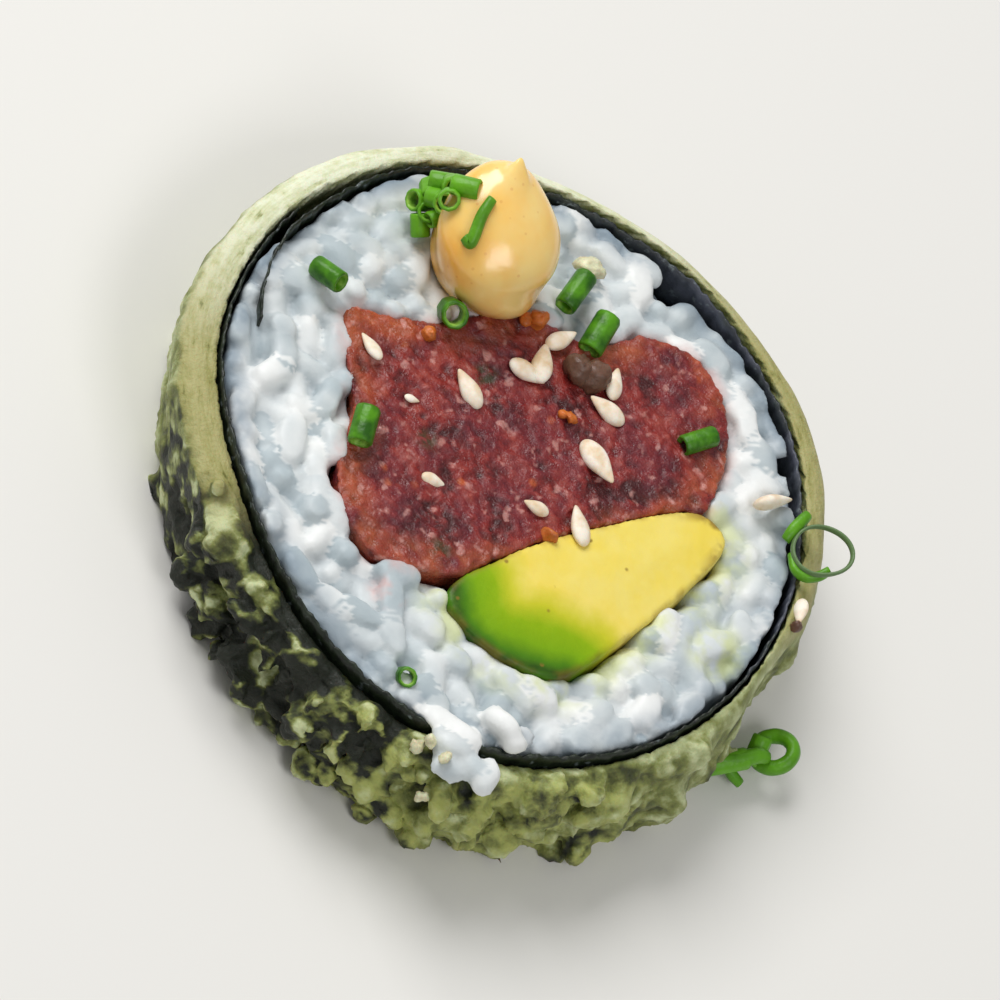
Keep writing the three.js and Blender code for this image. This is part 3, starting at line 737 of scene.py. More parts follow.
def crust_finish(settings):
    """Fried batter: pale crests over olive with painted shade in the crevices, painted light on lit lumps, a
    rim partly painted darker away from its palest side, and the dark sheet showing through where it is thin.
    """
    material, graph, surface, where = finish("Batter crust", Roughness=0.5, Subsurface_Weight=0.1,
                                             Subsurface_Scale=0.0006, Specular_IOR_Level=0.35)
    relief = graph.mesh_value("relief")
    thin = graph.noise(where, 230.0, 3.0, 0.6)
    mottle = graph.noise(where, 900.0, 4.0, 0.65)
    rough = graph.mesh_value("loose")
    # The relief darkens the crevices and pales the crests: partly the sheet showing through thin batter,
    # partly painted shade.
    depth = graph.times(graph.minus(relief, 0.5), graph.span(rough, 0.1, 0.9, 0.35, 0.9))
    level = graph.total(graph.times(mottle, graph.span(rough, 0.1, 0.9, 0.25, 0.5)), depth,
                        graph.span(rough, 0.1, 0.9, 0.5, 0.3))
    level = graph.minus(level, graph.times(graph.span(thin, 0.45, 0.62), 0.1))
    bare = graph.total(graph.mesh_value("bare"), graph.times(graph.minus(thin, 0.5), 1.4))
    # Deep crevices darkened further where the sheet shows through: partly the sheet, partly painted shade.
    sunk = graph.math("SUBTRACT", 0.42, graph.times(graph.minus(relief, 0.4), 1.5), clamp=True)
    level = graph.minus(level, graph.times(graph.span(bare, 0.25, 0.75), sunk))
    level = graph.minus(level, graph.span(bare, 0.85, 1.35, 0.0, 0.3))
    # Painted light: the lit lumps are raised towards paler batter.
    level = graph.total(level, graph.times(graph.mesh_value("lit"), 0.2))
    wall = graph.ramp(level, [
        (0.26, settings.dark), (0.42, settings.olive), (0.57, settings.middle), (0.76, settings.pale),
    ])
    fried = graph.span(graph.noise(where, 420.0, 3.0, 0.6), 0.38, 0.58)
    gold = graph.times(graph.times(graph.mesh_value("golden"), fried), graph.span(level, 0.3, 0.6))
    wall = graph.mix(gold, wall, settings.golden)
    streak = graph.noise(graph.mesh_vector("streak"), 1.0, 5.0, 0.65)
    speck = graph.noise(where, 1400.0, 3.0, 0.6)
    grain = graph.total(graph.times(streak, 0.62), graph.times(speck, 0.25),
                        graph.times(relief, 0.14))
    rim = graph.ramp(grain, [
        (0.25, settings.olive), (0.34, settings.middle), (0.43, settings.rim), (0.56, settings.crest),
    ])
    # The rim multiplied darker and yellower away from its palest side: partly its own tint, partly painted
    # shade.
    rim = graph.mix(graph.times(graph.mesh_value("sallow_and_shade"), 0.85), rim, settings.sallow_and_shade, blend="MULTIPLY")
    graph.colour(surface, graph.mix(graph.mesh_value("rim"), wall, rim))
    graph.roughness(surface, graph.span(mottle, 0.3, 0.7, 0.42, 0.68))
    bumped(graph, surface, graph.total(graph.noise(where, 3500.0, 3.0, 0.6), streak), 0.00012)
    return material


def seaweed_finish(settings):
    """Dark green-black sheet with a faint sheen, a painted bluish-grey sheen where the rice stands off it,
    and flecks of starch from the rice.
    """
    material, graph, surface, where = finish("Seaweed", Roughness=0.4)
    weave = graph.noise(where, 1400.0, 4.0, 0.7)
    fleck = graph.span(graph.noise(where, 900.0, 3.0, 0.6), 0.62, 0.70)
    base = graph.ramp(weave, [(0.35, settings.dark), (0.65, settings.green)])
    film = graph.span(graph.noise(where, 260.0, 3.0), 0.4, 0.6, 0.3, 0.8)
    # Painted sheen: bluish grey mixed into the sheet on the side where the rice stands off it.
    base = graph.mix(graph.times(graph.mesh_value("painted_sheen"), film), base, settings.painted_sheen)
    graph.colour(surface, graph.mix(graph.times(fleck, 0.45), base, settings.starch))
    bumped(graph, surface, weave, 0.0001)
    return material


def rice_finish(settings):
    """Moist cooked rice: bluish white with painted shade between the grains, greyer against the sheet, yellow
    or pink next to the fillings.
    """
    material, graph, surface, where = finish(
        "Cooked rice", Subsurface_Weight=0.5, Subsurface_Scale=0.0006, Subsurface_Radius=(1.0, 1.0, 1.0),
        Specular_IOR_Level=0.35)
    tone = graph.total(graph.times(graph.mesh_value("spilled"), 0.12),
                       graph.times(graph.mesh_value("tone"), 0.44),
                       graph.times(graph.noise(where, 480.0, 2.0), 0.3),
                       graph.times(graph.noise(where, 170.0, 2.0), 0.4))
    grain = graph.ramp(tone, [(0.36, settings.wet), (0.55, settings.middle), (0.78, settings.white)])
    # Painted shade: rice sunk below the face, between the grains, is darkened towards the crevice colour.
    grain = graph.mix(graph.times(graph.mesh_value("sunk"), 0.5), grain, settings.hollow)
    # Greyer rice near the sheet, a little more towards 140 degrees.
    pressed = graph.times(graph.mesh_value("pressed"), graph.span(graph.noise(where, 300.0), 0.3, 0.55))
    colour = graph.mix(pressed, grain, settings.pressed)
    touched = graph.span(graph.noise(where, 450.0, 3.0), 0.4, 0.6)
    colour = graph.mix(graph.times(graph.times(graph.mesh_value("stain"), touched), 0.6),
                       colour, settings.stain)
    colour = graph.mix(graph.times(graph.times(graph.mesh_value("blush"), touched), 0.65),
                       colour, settings.blush)
    graph.colour(surface, colour)
    graph.roughness(surface, graph.span(graph.noise(where, 1500.0, 3.0), 0.3, 0.7, 0.35, 0.65))
    bumped(graph, surface, graph.noise(where, 1500.0, 3.0, 0.6), 0.00006)
    return material


def tuna_finish(settings):
    """Chopped raw tuna: deep red with painted shade in the crevices and painted light on the crests, with
    paler fat, rusty edges and green flecks.
    """
    material, graph, surface, where = finish(
        "Raw tuna", Subsurface_Weight=0.3, Subsurface_Scale=0.001, Subsurface_Radius=(1.0, 0.25, 0.2))
    relief = graph.mesh_value("relief")
    patch = graph.noise(where, 210.0, 3.0, 0.6)
    speck = graph.noise(where, 1300.0, 3.0, 0.65)
    chop = graph.noise(where, 430.0, 2.0, 0.5)
    # The relief paints shade in the crevices and light on the crests, over the flesh's own patches.
    level = graph.total(graph.times(relief, 0.3), graph.times(patch, 0.5),
                        graph.times(chop, 0.35), graph.times(speck, 0.15))
    flesh = graph.ramp(level, [
        (0.52, settings.deep), (0.6, settings.flesh), (0.68, settings.bright), (0.8, settings.pale),
    ])
    bluer = graph.span(graph.noise(where, 300.0, 3.0, 0.6), 0.46, 0.6, 0.0, 0.5)
    flesh = graph.mix(bluer, flesh, settings.plum)
    edge = graph.times(graph.mesh_value("edge"), graph.span(graph.noise(where, 330.0, 3.0), 0.38, 0.6))
    flesh = graph.mix(graph.times(edge, 0.85), flesh, settings.rust)
    fat = graph.span(graph.noise(where, 820.0, 2.0, 0.5), 0.61, 0.69)
    flesh = graph.mix(graph.times(fat, 0.5), flesh, settings.fat)
    dots = graph.times(graph.span(graph.cells(where, 360.0), 0.17, 0.08), graph.span(patch, 0.45, 0.6))
    flesh = graph.mix(graph.times(dots, 0.6), flesh, settings.orange)
    herb = graph.times(graph.mesh_value("herb"), graph.span(speck, 0.38, 0.55))
    graph.colour(surface, graph.mix(graph.times(herb, 0.8), flesh, settings.herb))
    graph.roughness(surface, graph.span(speck, 0.35, 0.65, 0.18, 0.5))
    bumped(graph, surface, graph.noise(where, 2400.0, 3.0, 0.65), 0.0002)
    return material


def avocado_finish(settings):
    """Ripe avocado: butter yellow turning green and then dark towards the side next to its skin, with a
    partly painted cream highlight in the middle.
    """
    material, graph, surface, where = finish(
        "Avocado flesh", Roughness=0.45, Subsurface_Weight=0.15, Subsurface_Scale=0.0008,
        Subsurface_Radius=(1.0, 0.8, 0.3), Specular_IOR_Level=0.25)
    cloud = graph.noise(where, 320.0, 3.0, 0.55)
    depth = graph.total(graph.mesh_value("skin"), graph.times(graph.minus(cloud, 0.5), 0.16))
    flesh = graph.ramp(depth, [
        (0.0, settings.skin), (0.09, settings.leaf), (0.22, settings.green), (0.38, settings.moss),
        (0.55, settings.lime), (0.78, settings.butter),
    ])
    # Pale cream clouds over the yellow middle: partly the flesh's own tone, partly a painted highlight.
    soft = graph.times(graph.span(cloud, 0.35, 0.65, 0.0, 0.4), graph.span(depth, 0.5, 0.8))
    flesh = graph.mix(soft, flesh, settings.cream)
    specks = graph.times(graph.span(graph.cells(where, 420.0), 0.10, 0.05),
                        graph.span(graph.noise(where, 260.0), 0.5, 0.56))
    edge = graph.times(graph.mesh_value("edge"), graph.span(graph.noise(where, 500.0, 3.0), 0.4, 0.55))
    flesh = graph.mix(graph.times(edge, 0.85), flesh, settings.brown)
    graph.colour(surface, graph.mix(graph.times(specks, 0.8), flesh, settings.brown))
    bumped(graph, surface, graph.noise(where, 1500.0, 3.0, 0.5), 0.00004)
    return material


def sauce_finish(settings):
    """Thick glossy orange mayonnaise sauce, with painted shade at its foot and on one side."""
    material, graph, surface, where = finish(
        "Spicy sauce", Roughness=0.2, Subsurface_Weight=0.3, Subsurface_Scale=0.0012,
        Subsurface_Radius=(1.0, 0.7, 0.3), Coat_Weight=0.5, Coat_Roughness=0.22)
    # Painted shade: deeper orange at the foot and on the shaded side.
    cloud = graph.minus(graph.noise(where, 240.0, 3.0, 0.5), graph.times(graph.mesh_value("side"), 0.4))
    base = graph.ramp(cloud, [(0.15, settings.shade), (0.4, settings.deep), (0.62, settings.pale)])
    pepper = graph.span(graph.cells(where, 900.0), 0.14, 0.08)
    graph.colour(surface, graph.mix(graph.times(pepper, 0.25), base, settings.pepper))
    bumped(graph, surface, graph.noise(where, 700.0, 2.0), 0.00004)
    return material


def chive_finish(settings):
    """Fresh chive: dark green ribbed skin with painted light on the heaped rings and strands, a pale wet
    inside, duller in the thin loop.
    """
    material, graph, surface, where = finish("Chive", Roughness=0.4, Specular_IOR_Level=0.35)
    cloud = graph.noise(where, 700.0, 3.0)
    outside = graph.ramp(cloud, [(0.35, settings.dark), (0.65, settings.green)])
    # Painted light: the heaped rings and the strands are mixed towards a lighter green.
    outside = graph.mix(graph.mesh_value("painted_light"), outside, settings.painted_light)
    inside = graph.mix(graph.span(cloud, 0.4, 0.6), settings.green, settings.pale)
    colour = graph.mix(graph.mesh_value("hollow"), outside, inside)
    graph.colour(surface, graph.mix(graph.mesh_value("dull"), colour, settings.dull))
    bumped(graph, surface, graph.noise(where, 2600.0, 2.0), 0.00006)
    return material


def sesame_finish(settings):
    """Hulled sesame: cream with a toasted shade at the pointed end."""
    material, graph, surface, where = finish(
        "Sesame", Roughness=0.5, Subsurface_Weight=0.1, Subsurface_Scale=0.0004)
    cloud = graph.noise(where, 800.0, 3.0)
    base = graph.ramp(cloud, [(0.3, settings.toasted), (0.6, settings.cream)])
    toasted = graph.times(graph.mesh_value("tip"), 0.5)
    graph.colour(surface, graph.mix(toasted, base, settings.toasted))
    bumped(graph, surface, graph.noise(where, 2500.0, 3.0), 0.00003)
    return material


def scrap_finish(settings):
    """Small scraps on the face: their own colour, kept on each, with darker specks."""
    material, graph, surface, where = finish(
        "Scraps", Roughness=0.4, Subsurface_Weight=0.2, Subsurface_Scale=0.0006)
    speck = graph.noise(where, 1500.0, 4.0, 0.7)
    colour = graph.ramp(graph.mesh_value("tone"), [
        (0.0, settings.brown), (0.34, settings.orange), (0.67, settings.batter),
    ])
    specks = graph.span(speck, 0.35, 0.65, 0.0, 0.5)
    graph.colour(surface, graph.mix(specks, colour, settings.dark, blend="MULTIPLY"))
    bumped(graph, surface, speck, 0.0001)
    return material


# ---------------------------------------------------------------- settings

class CrustSettings(PropertyGroup):
    detail: length_setting("Detail", "Spacing of the crust's surface points", 0.27)
    crumb_density: FloatProperty(
        name="Crumbs", description="Scraps on each square centimetre", default=13.0, min=0,
    )
    crumb_least: length_setting("Smallest crumb", "Radius of the smallest scraps", 0.5)
    crumb_most: length_setting("Largest crumb", "Radius of the largest scraps", 1.9)
    swell_height: length_setting("Swellings", "Height of the broad swellings", 0.7)
    ridge_height: length_setting("Ridges", "Height of the sharp ridges", 0.55)
    calming: IntProperty(
        name="Calming", description="Rounds of smoothing on the even side", default=40, min=0,
    )
    dark: tint_setting("Dark", "Where the seaweed shows through", "#20241a")
    olive: tint_setting("Olive", "Shaded batter", "#50562c")
    middle: tint_setting("Middle", "Batter of the wall", "#838a4c")
    # The relief pales the crests and darkens the crevices, partly painted shade.
    pale: tint_setting("Pale", "Crests of the wall", "#cad2a2")
    rim: tint_setting("Rim", "Batter of the rim", "#d0d4a8")
    crest: tint_setting("Crest", "Palest batter of the rim", "#e8ebcf")
    # Partly the rim's own tint, partly painted shade.
    sallow_and_shade: tint_setting("Sallow", "Tint of the rim away from its palest side", "#b3a86a")
    golden: tint_setting("Golden", "Thick lumps of batter", "#adb364")


class SeaweedSettings(PropertyGroup):
    thickness: length_setting("Thickness", "Thickness of the sheet", 0.26)
    ragged: length_setting("Ragged edge", "How far its upper edge goes up and down", 0.34)
    dark: tint_setting("Dark", "Darkest sheet", "#0b0f0c")
    green: tint_setting("Green", "Greenest sheet", "#25301f")
    starch: tint_setting("Starch", "Flecks of starch", "#8d9a9c")
    # The painted sheen on the sheet where the rice stands off it.
    painted_sheen: tint_setting("Moist", "Where the rice stands off the sheet", "#555866")


class RiceSettings(PropertyGroup):
    grain_length: length_setting("Grain length", "Length of a cooked grain", 4.0)
    grain_width: length_setting("Grain width", "Width of a cooked grain", 2.4)
    grain_thickness: length_setting("Grain thickness", "Thickness of a cooked grain", 2.2)
    detail: length_setting("Detail", "Spacing of the rice's surface points", 0.285)
    spacing: length_setting("Spacing", "Least distance between grains on the face", 1.75)
    # Also the core between grains, where it is painted shade.
    wet: tint_setting("Wet", "Darkest grains", "#b3bec2")
    middle: tint_setting("Middle", "Most grains", "#d0d6d7")
    white: tint_setting("White", "Whitest grains", "#ecedeb")
    # Painted shade in the crevices between grains.
    hollow: tint_setting("Hollow", "Crevices between grains", "#87949c")
    pressed: tint_setting("Pressed", "Rice against the sheet", "#8594a0")
    stain: tint_setting("Stain", "Rice touched by the avocado", "#d3da86")
    blush: tint_setting("Blush", "Rice touched by the tuna", "#dba79f")


class TunaSettings(PropertyGroup):
    detail: length_setting("Detail", "Spacing of the tuna's surface points", 0.21)
    lump_size: length_setting("Lump size", "Width of the chopped lumps", 0.9)
    lump_height: length_setting("Lump height", "Height of the chopped lumps", 0.26)
    # Partly painted shade in the crevices.
    deep: tint_setting("Deep", "Flesh in the crevices", "#451214")
    flesh: tint_setting("Flesh", "Most of the flesh", "#6d2121")
    bright: tint_setting("Bright", "Freshest flesh", "#892a26")
    # Partly painted light on the crests.
    pale: tint_setting("Pale", "Flesh on the crests", "#a04a40")
    plum: tint_setting("Plum", "Flesh of a bluer red", "#6e2833")
    fat: tint_setting("Fat", "Flecks of fat", "#d9a096")
    rust: tint_setting("Rust", "Flesh at the outer edge", "#b25a34")
    orange: tint_setting("Orange", "Flecks of sauce", "#cf6a30")
    herb: tint_setting("Herb", "Flecks of green", "#35371a")


class AvocadoSettings(PropertyGroup):
    crown: length_setting("Crown", "How far the cut face rises in its middle", 0.15)
    butter: tint_setting("Butter", "Flesh near the stone", "#ecd458")
    # Partly a painted highlight in the yellow middle.
    cream: tint_setting("Cream", "Palest flesh", "#f0e28e")
    lime: tint_setting("Lime", "Flesh between yellow and green", "#c6c42a")
    moss: tint_setting("Moss", "Greenest of the yellow flesh", "#8cae08")
    green: tint_setting("Green", "Flesh towards the skin", "#7aa508")
    leaf: tint_setting("Leaf", "Flesh next to the skin", "#4a7d0c")
    skin: tint_setting("Skin", "The outermost flesh", "#2c4d0f")
    brown: tint_setting("Brown", "Specks and bruises", "#8a6a2a")


class SauceSettings(PropertyGroup):
    # Painted shade at the sauce's foot and on its shaded side.
    shade: tint_setting("Shade", "The sauce at its foot and on its deeper side", "#f8b850")
    deep: tint_setting("Deep", "Deeper orange of the sauce", "#ffcd70")
    pale: tint_setting("Pale", "Paler orange of the sauce", "#ffdb8a")
    pepper: tint_setting("Pepper", "Specks of chilli", "#d27a3a")


class ChiveSettings(PropertyGroup):
    radius: length_setting("Radius", "Outer radius of a cut ring", 1.0)
    wall: length_setting("Wall", "Thickness of its wall", 0.32)
    dark: tint_setting("Dark", "Darkest green", "#275a08")
    green: tint_setting("Green", "Most of the outside", "#549413")
    pale: tint_setting("Pale", "The wet inside", "#a6cf5a")
    # Painted light: the lighter green of the heaped rings and strands.
    painted_light: tint_setting("Fresh", "The greenest cut rings", "#74bb22")
    dull: tint_setting("Dull", "The thin dry loop", "#5f7a4c")


class SesameSettings(PropertyGroup):
    length: length_setting("Length", "Length of a seed", 3.4)
    width: length_setting("Width", "Width of a seed", 1.7)
    thickness: length_setting("Thickness", "Thickness of a seed", 1.0)
    cream: tint_setting("Cream", "Most of a seed", "#fbf0df")
    toasted: tint_setting("Toasted", "Its toasted end", "#e0c49c")


class ScrapSettings(PropertyGroup):
    brown: tint_setting("Brown", "Brown lump", "#70503f")
    orange: tint_setting("Orange", "Bits of sauce", "#d9782f")
    batter: tint_setting("Batter", "Bits of batter", "#e9e9c4")
    dark: tint_setting("Dark", "Specks", "#a08a70")


class StageSettings(PropertyGroup):
    floor: tint_setting("Floor", "Colour of the floor", "#e9e7e2")
    cloud: tint_setting("Floor clouds", "Faint clouds on the floor", "#d4d2cd")
    sky_colour: tint_setting("Sky colour", "Colour of the light from all round", "#f5f6f7")
    elevation: FloatProperty(
        name="Elevation", description="Camera above the horizon", default=math.radians(51.3), subtype="ANGLE",
    )
    roll: FloatProperty(
        name="Roll", description="Camera turned clockwise about its own axis", default=math.radians(47.7),
        subtype="ANGLE",
    )
    distance: length_setting("Distance", "From the camera to the upper face", 600)
    frame_width: length_setting("Frame width", "Width of what the camera sees at that distance", 75)
    key: FloatProperty(
        name="Key light", description="Power of the large soft lamp", default=4.8, min=0, unit="POWER",
    )
    fill: FloatProperty(
        name="Fill light", description="Power of the weak lamp", default=1.6, min=0, unit="POWER",
    )
    sky: FloatProperty(name="Sky", description="Strength of the light from all round", default=0.34, min=0)


class MakiSettings(PropertyGroup):
    crust: PointerProperty(type=CrustSettings)
    seaweed: PointerProperty(type=SeaweedSettings)
    rice: PointerProperty(type=RiceSettings)
    tuna: PointerProperty(type=TunaSettings)
    avocado: PointerProperty(type=AvocadoSettings)
    sauce: PointerProperty(type=SauceSettings)
    chives: PointerProperty(type=ChiveSettings)
    sesame: PointerProperty(type=SesameSettings)
    scraps: PointerProperty(type=ScrapSettings)
    stage: PointerProperty(type=StageSettings)


# ---------------------------------------------------------------- shapes of single things

def along_x(profile, sides):
    """Rings about the X axis from (place along it, radius) pairs."""
    turn = np.arange(sides) * 2 * math.pi / sides
    return np.array([
        np.column_stack([np.full(sides, x), radius * np.cos(turn), radius * np.sin(turn)])
        for x, radius in profile
    ])


def grain_shape(settings):
    """One cooked grain: blunt ends, flat sides and a slight bend."""
    share = np.cos(np.linspace(math.pi, 0, 12)[1:-1])
    radius = (1 - np.abs(share) ** 2.5) ** 0.45
    rings = along_x(np.column_stack([share, radius]), 14) * 0.5
    rings *= (settings.grain_length, settings.grain_width, settings.grain_thickness)
    rings[..., 1] += 0.08 * settings.grain_width * (1 - (2 * rings[..., 0] / settings.grain_length) ** 2)
    return new_piece("Grain", *skin(rings))


def seed_shape(settings):
    """One sesame seed: a flat teardrop, pointed at +X."""
    share = np.cos(np.linspace(math.pi, 0, 20)[1:-1])
    radius = np.sqrt(1 - share**2) * (1 - 0.42 * ease(share, -0.4, 1.15) - 0.1 * share)
    rings = along_x(np.column_stack([share, radius]), 20) * 0.5
    rings *= (settings.length, settings.width, settings.thickness)
    piece = new_piece("Seed", *skin(rings))
    along = np.array([corner.co.x for corner in piece.data.vertices]) / settings.length
    keep(piece, "tip", ease(along, 0.2, 0.5))
    return piece


def chive_shape(settings):
    """One millimetre of hollow chive along X, with soft cut edges."""
    outer, inner = settings.radius, settings.radius - settings.wall
    lip = settings.wall * 0.3
    section = [
        (-0.5, inner + lip), (-0.5, outer - lip), (-0.44, outer), (-0.2, outer), (0.2, outer), (0.44, outer),
        (0.5, outer - lip), (0.5, inner + lip), (0.44, inner), (0.0, inner), (-0.44, inner),
    ]
    sides = 28
    rings = along_x(section, sides)
    rings[..., 0] *= MM
    ribs = 1 + 0.025 * np.cos(9 * np.arange(sides) * 2 * math.pi / sides)
    rings[..., 1:] *= ribs[None, :, None]
    piece = new_piece("Chive", *skin(rings, loop=True))
    reach = np.array([math.hypot(corner.co.y, corner.co.z) for corner in piece.data.vertices])
    keep(piece, "hollow", ease(reach, outer - 0.6 * settings.wall, outer - 0.95 * settings.wall))
    return piece


def strand(path, radius, closed=False, flat=1.0):
    """A thin strand along a path in millimetres, capped or closed on itself."""
    path = np.asarray(path, float)
    ahead = np.roll(path, -1, 0) - np.roll(path, 1, 0)
    if not closed:
        ahead[0], ahead[-1] = path[1] - path[0], path[-1] - path[-2]
    ahead /= np.linalg.norm(ahead, axis=1)[:, None]
    side = np.cross(ahead, (0.31, 0.2, 0.93))
    side /= np.linalg.norm(side, axis=1)[:, None]
    over = np.cross(side, ahead)
    turn = np.arange(10) * 2 * math.pi / 10
    radii = np.full(len(path), radius)
    if not closed:
        radii *= 0.55 + 0.45 * np.sin(np.linspace(0.3, math.pi - 0.3, len(path))) ** 0.5
    ring = np.cos(turn)[None, :, None] * side[:, None] + flat * np.sin(turn)[None, :, None] * over[:, None]
    return skin(path[:, None] + radii[:, None, None] * ring, loop=closed)


def ball(radius):
    """A round thing of a few rings, as a start for a scrap."""
    share = np.cos(np.linspace(math.pi, 0, 14)[1:-1])
    return skin(along_x(np.column_stack([share, np.sqrt(1 - share**2)]), 16) * radius)


def points_for(name, places, turns, sizes):
    """Bare points in the frame, with the turn and size of what is laid on each."""
    mesh = bpy.data.meshes.new(name)
    mesh.from_pydata([tuple(p) for p in to_frame(places)], [], [])
    piece = linked(name, mesh)
    keep(piece, "turn", turns, "FLOAT_VECTOR")
    keep(piece, "size", sizes, "FLOAT_VECTOR")
    return piece


def laid_out(points, thing, material):
    """Sets a thing on each point and removes the one it was copied from."""
    grown_by(points, laying_out_tree(), {"Thing": thing, "Material": material})
    discard(thing)
    return points


# ---------------------------------------------------------------- rice

FIELD = 24.5                        # grains are tried up to this radius
UNDER_SAUCE = 3.0                   # and not this close under the middle of the sauce
TRIES = 9000


def stand_off(angles):
    """How far the rice keeps from the sheet where it stands off it, at angles in radians."""
    side = ease(toward(angles, GAP_ANGLE), 0.7, 0.95)
    return 0.6 * side * (0.5 + 0.5 * waves(np.degrees(angles), 9, (7.0, 13.0, 29.0)))


def rice_reach(angles):
    """How far out the rice goes, at angles in radians. It fills the sheet's curled end."""
    degrees = past_seam(angles)
    layer = np.minimum(seam_inset(degrees), SEAM_LAYER) * ease(degrees, 12, SEAM_OVERLAP)
    uneven = 0.15 * (1 + waves(np.degrees(angles), 14, (3.1, 5.7, 11.0)))
    return ring_radius(angles) - 0.25 - layer - uneven - stand_off(angles)


def rice_room(places):
    """Distance of places on the face to the nearest edge of the rice, negative off it."""
    flat = places[:, :2]
    around = angles_of(flat)
    sheet = rice_reach(around) - 0.08 - np.linalg.norm(flat, axis=1)
    gaps = [np.linalg.norm(flat - (x, y), axis=1) - reach + 1.2 for x, y, reach in RICE_GAPS]
    fillings = [-0.35 - inside_by(flat, loop) for loop in (TUNA, AVOCADO)]
    return np.minimum.reduce([sheet, *fillings, *gaps])


def edge_turn(place):
    """Direction of the nearest edge at a place, in radians."""
    step = 0.2
    around = np.array([place + (dx, dy) for dx, dy in ((step, 0), (-step, 0), (0, step), (0, -step))])
    room = rice_room(around)
    return math.atan2(room[2] - room[3], room[0] - room[1]) + math.pi / 2


def scattered_grains(seed, spacing):
    """Places and turns of grains on the face, no two closer than the spacing."""
    rng = np.random.default_rng(seed)
    reach, angle = FIELD * np.sqrt(rng.random(TRIES)), rng.uniform(0, 2 * math.pi, TRIES)
    candidates = np.column_stack([reach * np.cos(angle), reach * np.sin(angle)])
    room = rice_room(candidates)
    free = (room > 0.2) & (np.linalg.norm(candidates - SAUCE_PLACE[:2], axis=1) > UNDER_SAUCE)
    places, turns = [], []
    for place, space in zip(candidates[free], room[free]):
        if places and np.min(np.linalg.norm(np.array(places) - place, axis=1)) < spacing:
            continue
        steep = rng.random() < 0.4
        tilt = rng.uniform(0.7, 1.4) if steep else rng.uniform(-0.3, 0.3)
        beside = space < (1.3 if steep else 2.4)
        turn = edge_turn(place) + rng.normal(0, 0.25) if beside else rng.uniform(0, 2 * math.pi)
        places.append(place)
        turns.append((rng.uniform(-0.5, 0.5), -tilt, turn))
    return np.array(places), np.array(turns), rng


def face_of_grains(settings, seed, upper):
    """Grains of one cut face, with their tops near the knife's level."""
    flat, turns, rng = scattered_grains(seed, settings.spacing / MM)
    half = settings.grain_length / MM / 2 * np.abs(np.sin(turns[:, 1]))
    half += settings.grain_width / MM / 2 * np.abs(np.cos(turns[:, 1]))
    proud = rng.uniform(-0.15, 1.1, len(flat)) if upper else rng.uniform(-0.35, 0.05, len(flat))
    height = HEIGHT + proud - half if upper else half - proud - 0.05
    sizes = rng.uniform(0.82, 1.12, (len(flat), 1)) * rng.uniform(0.94, 1.06, (len(flat), 3))
    return np.column_stack([flat, height]), turns, sizes


def spilled_grains():
    rng = np.random.default_rng(7)
    places = [(SPILL[0] + x, SPILL[1] + y, HEIGHT + z) for x, y, z in SPILLED_GRAINS]
    count = len(places)
    spans = ((-0.5, 0.5), (-0.35, 0.35), (0, 6.3))
    rolls, tilts, turns = (rng.uniform(low, high, count) for low, high in spans)
    return np.array(places), np.column_stack([rolls, tilts, turns]), np.full((count, 3), 0.85)


def all_grains(settings, material):
    sets = [face_of_grains(settings, 11, True), face_of_grains(settings, 12, False), spilled_grains()]
    places, turns, sizes = (np.vstack([one[k] for one in sets]) for k in range(3))
    grains = points_for("Grains", places, turns, sizes)
    keep(grains, "loose", np.ones(len(places)))
    keep(grains, "tone", np.random.default_rng(5).random(len(places)))
    return laid_out(grains, grain_shape(settings), material)


def rice_core():
    """The rice under its grains, with room for the fillings and hollows along the sheet."""
    core = prism("Core", grown(RING, -0.45), 0.5, HEIGHT - 1.0)
    fillings = [room_for(loop, 0.1) for loop in (TUNA, AVOCADO)]
    remeshed(cut(core, *fillings), 0.42 * MM)
    places = places_of(core)
    sunk = np.max([1 - ease(np.linalg.norm(places[:, :2] - (x, y), axis=1), 0.5 * reach, 1.2 * reach)
                   for x, y, reach in RICE_GAPS], axis=0)
    places[:, 2] -= np.where(places[:, 2] > HEIGHT / 2, 3.0 * sunk, 0.0)
    move_corners(core, places)
    return core


def fused(name, pieces, voxel, smooth):
    """One piece from several that overlap."""
    work = bmesh.new()
    for piece in pieces:
        work.from_mesh(piece.data)
        discard(piece)
    mesh = bpy.data.meshes.new(name)
    work.to_mesh(mesh)
    work.free()
    return remeshed(linked(name, mesh), voxel, smooth)


def tones_by_place(grains):
    """A search tree of the grains' corners, and the tone of each."""
    nearest = KDTree(len(grains.data.vertices))
    for index, corner in enumerate(grains.data.vertices):
        nearest.insert(corner.co, index)
    nearest.balance()
    tones = np.zeros(len(grains.data.vertices), np.float32)
    grains.data.attributes["tone"].data.foreach_get("value", tones)
    return nearest, tones


def is_spilled(places):
    return (np.linalg.norm(places[:, :2] - SPILL, axis=1) < SPILL_REACH) & (places[:, 2] > HEIGHT - 0.3)


def pressed(piece, slack=0.05, give=0.28):
    """Flattens what stands over the upper face, and keeps the rice inside the sheet and over the floor."""
    places = places_of(piece)
    over = places[:, 2] - (HEIGHT + slack)
    spilled = is_spilled(places)
    around = angles_of(places)
    reach = np.linalg.norm(places[:, :2], axis=1)
    kept = np.minimum(reach, rice_reach(around)) / np.maximum(reach, 0.01)
    places[:, :2] *= np.where(spilled, 1, kept)[:, None]
    places[:, 2] = np.where((over > 0) & ~spilled, HEIGHT + slack + give * over, places[:, 2])
    places[:, 2] = np.maximum(places[:, 2], 0.0)
    move_corners(piece, places)


# ---------------------------------------------------------------- toppings

GROUND = ("batter_crust", "sticky_rice", "chopped_tuna", "avocado_strip")
DROP = 20 * MM                      # height over the face from which a topping comes down


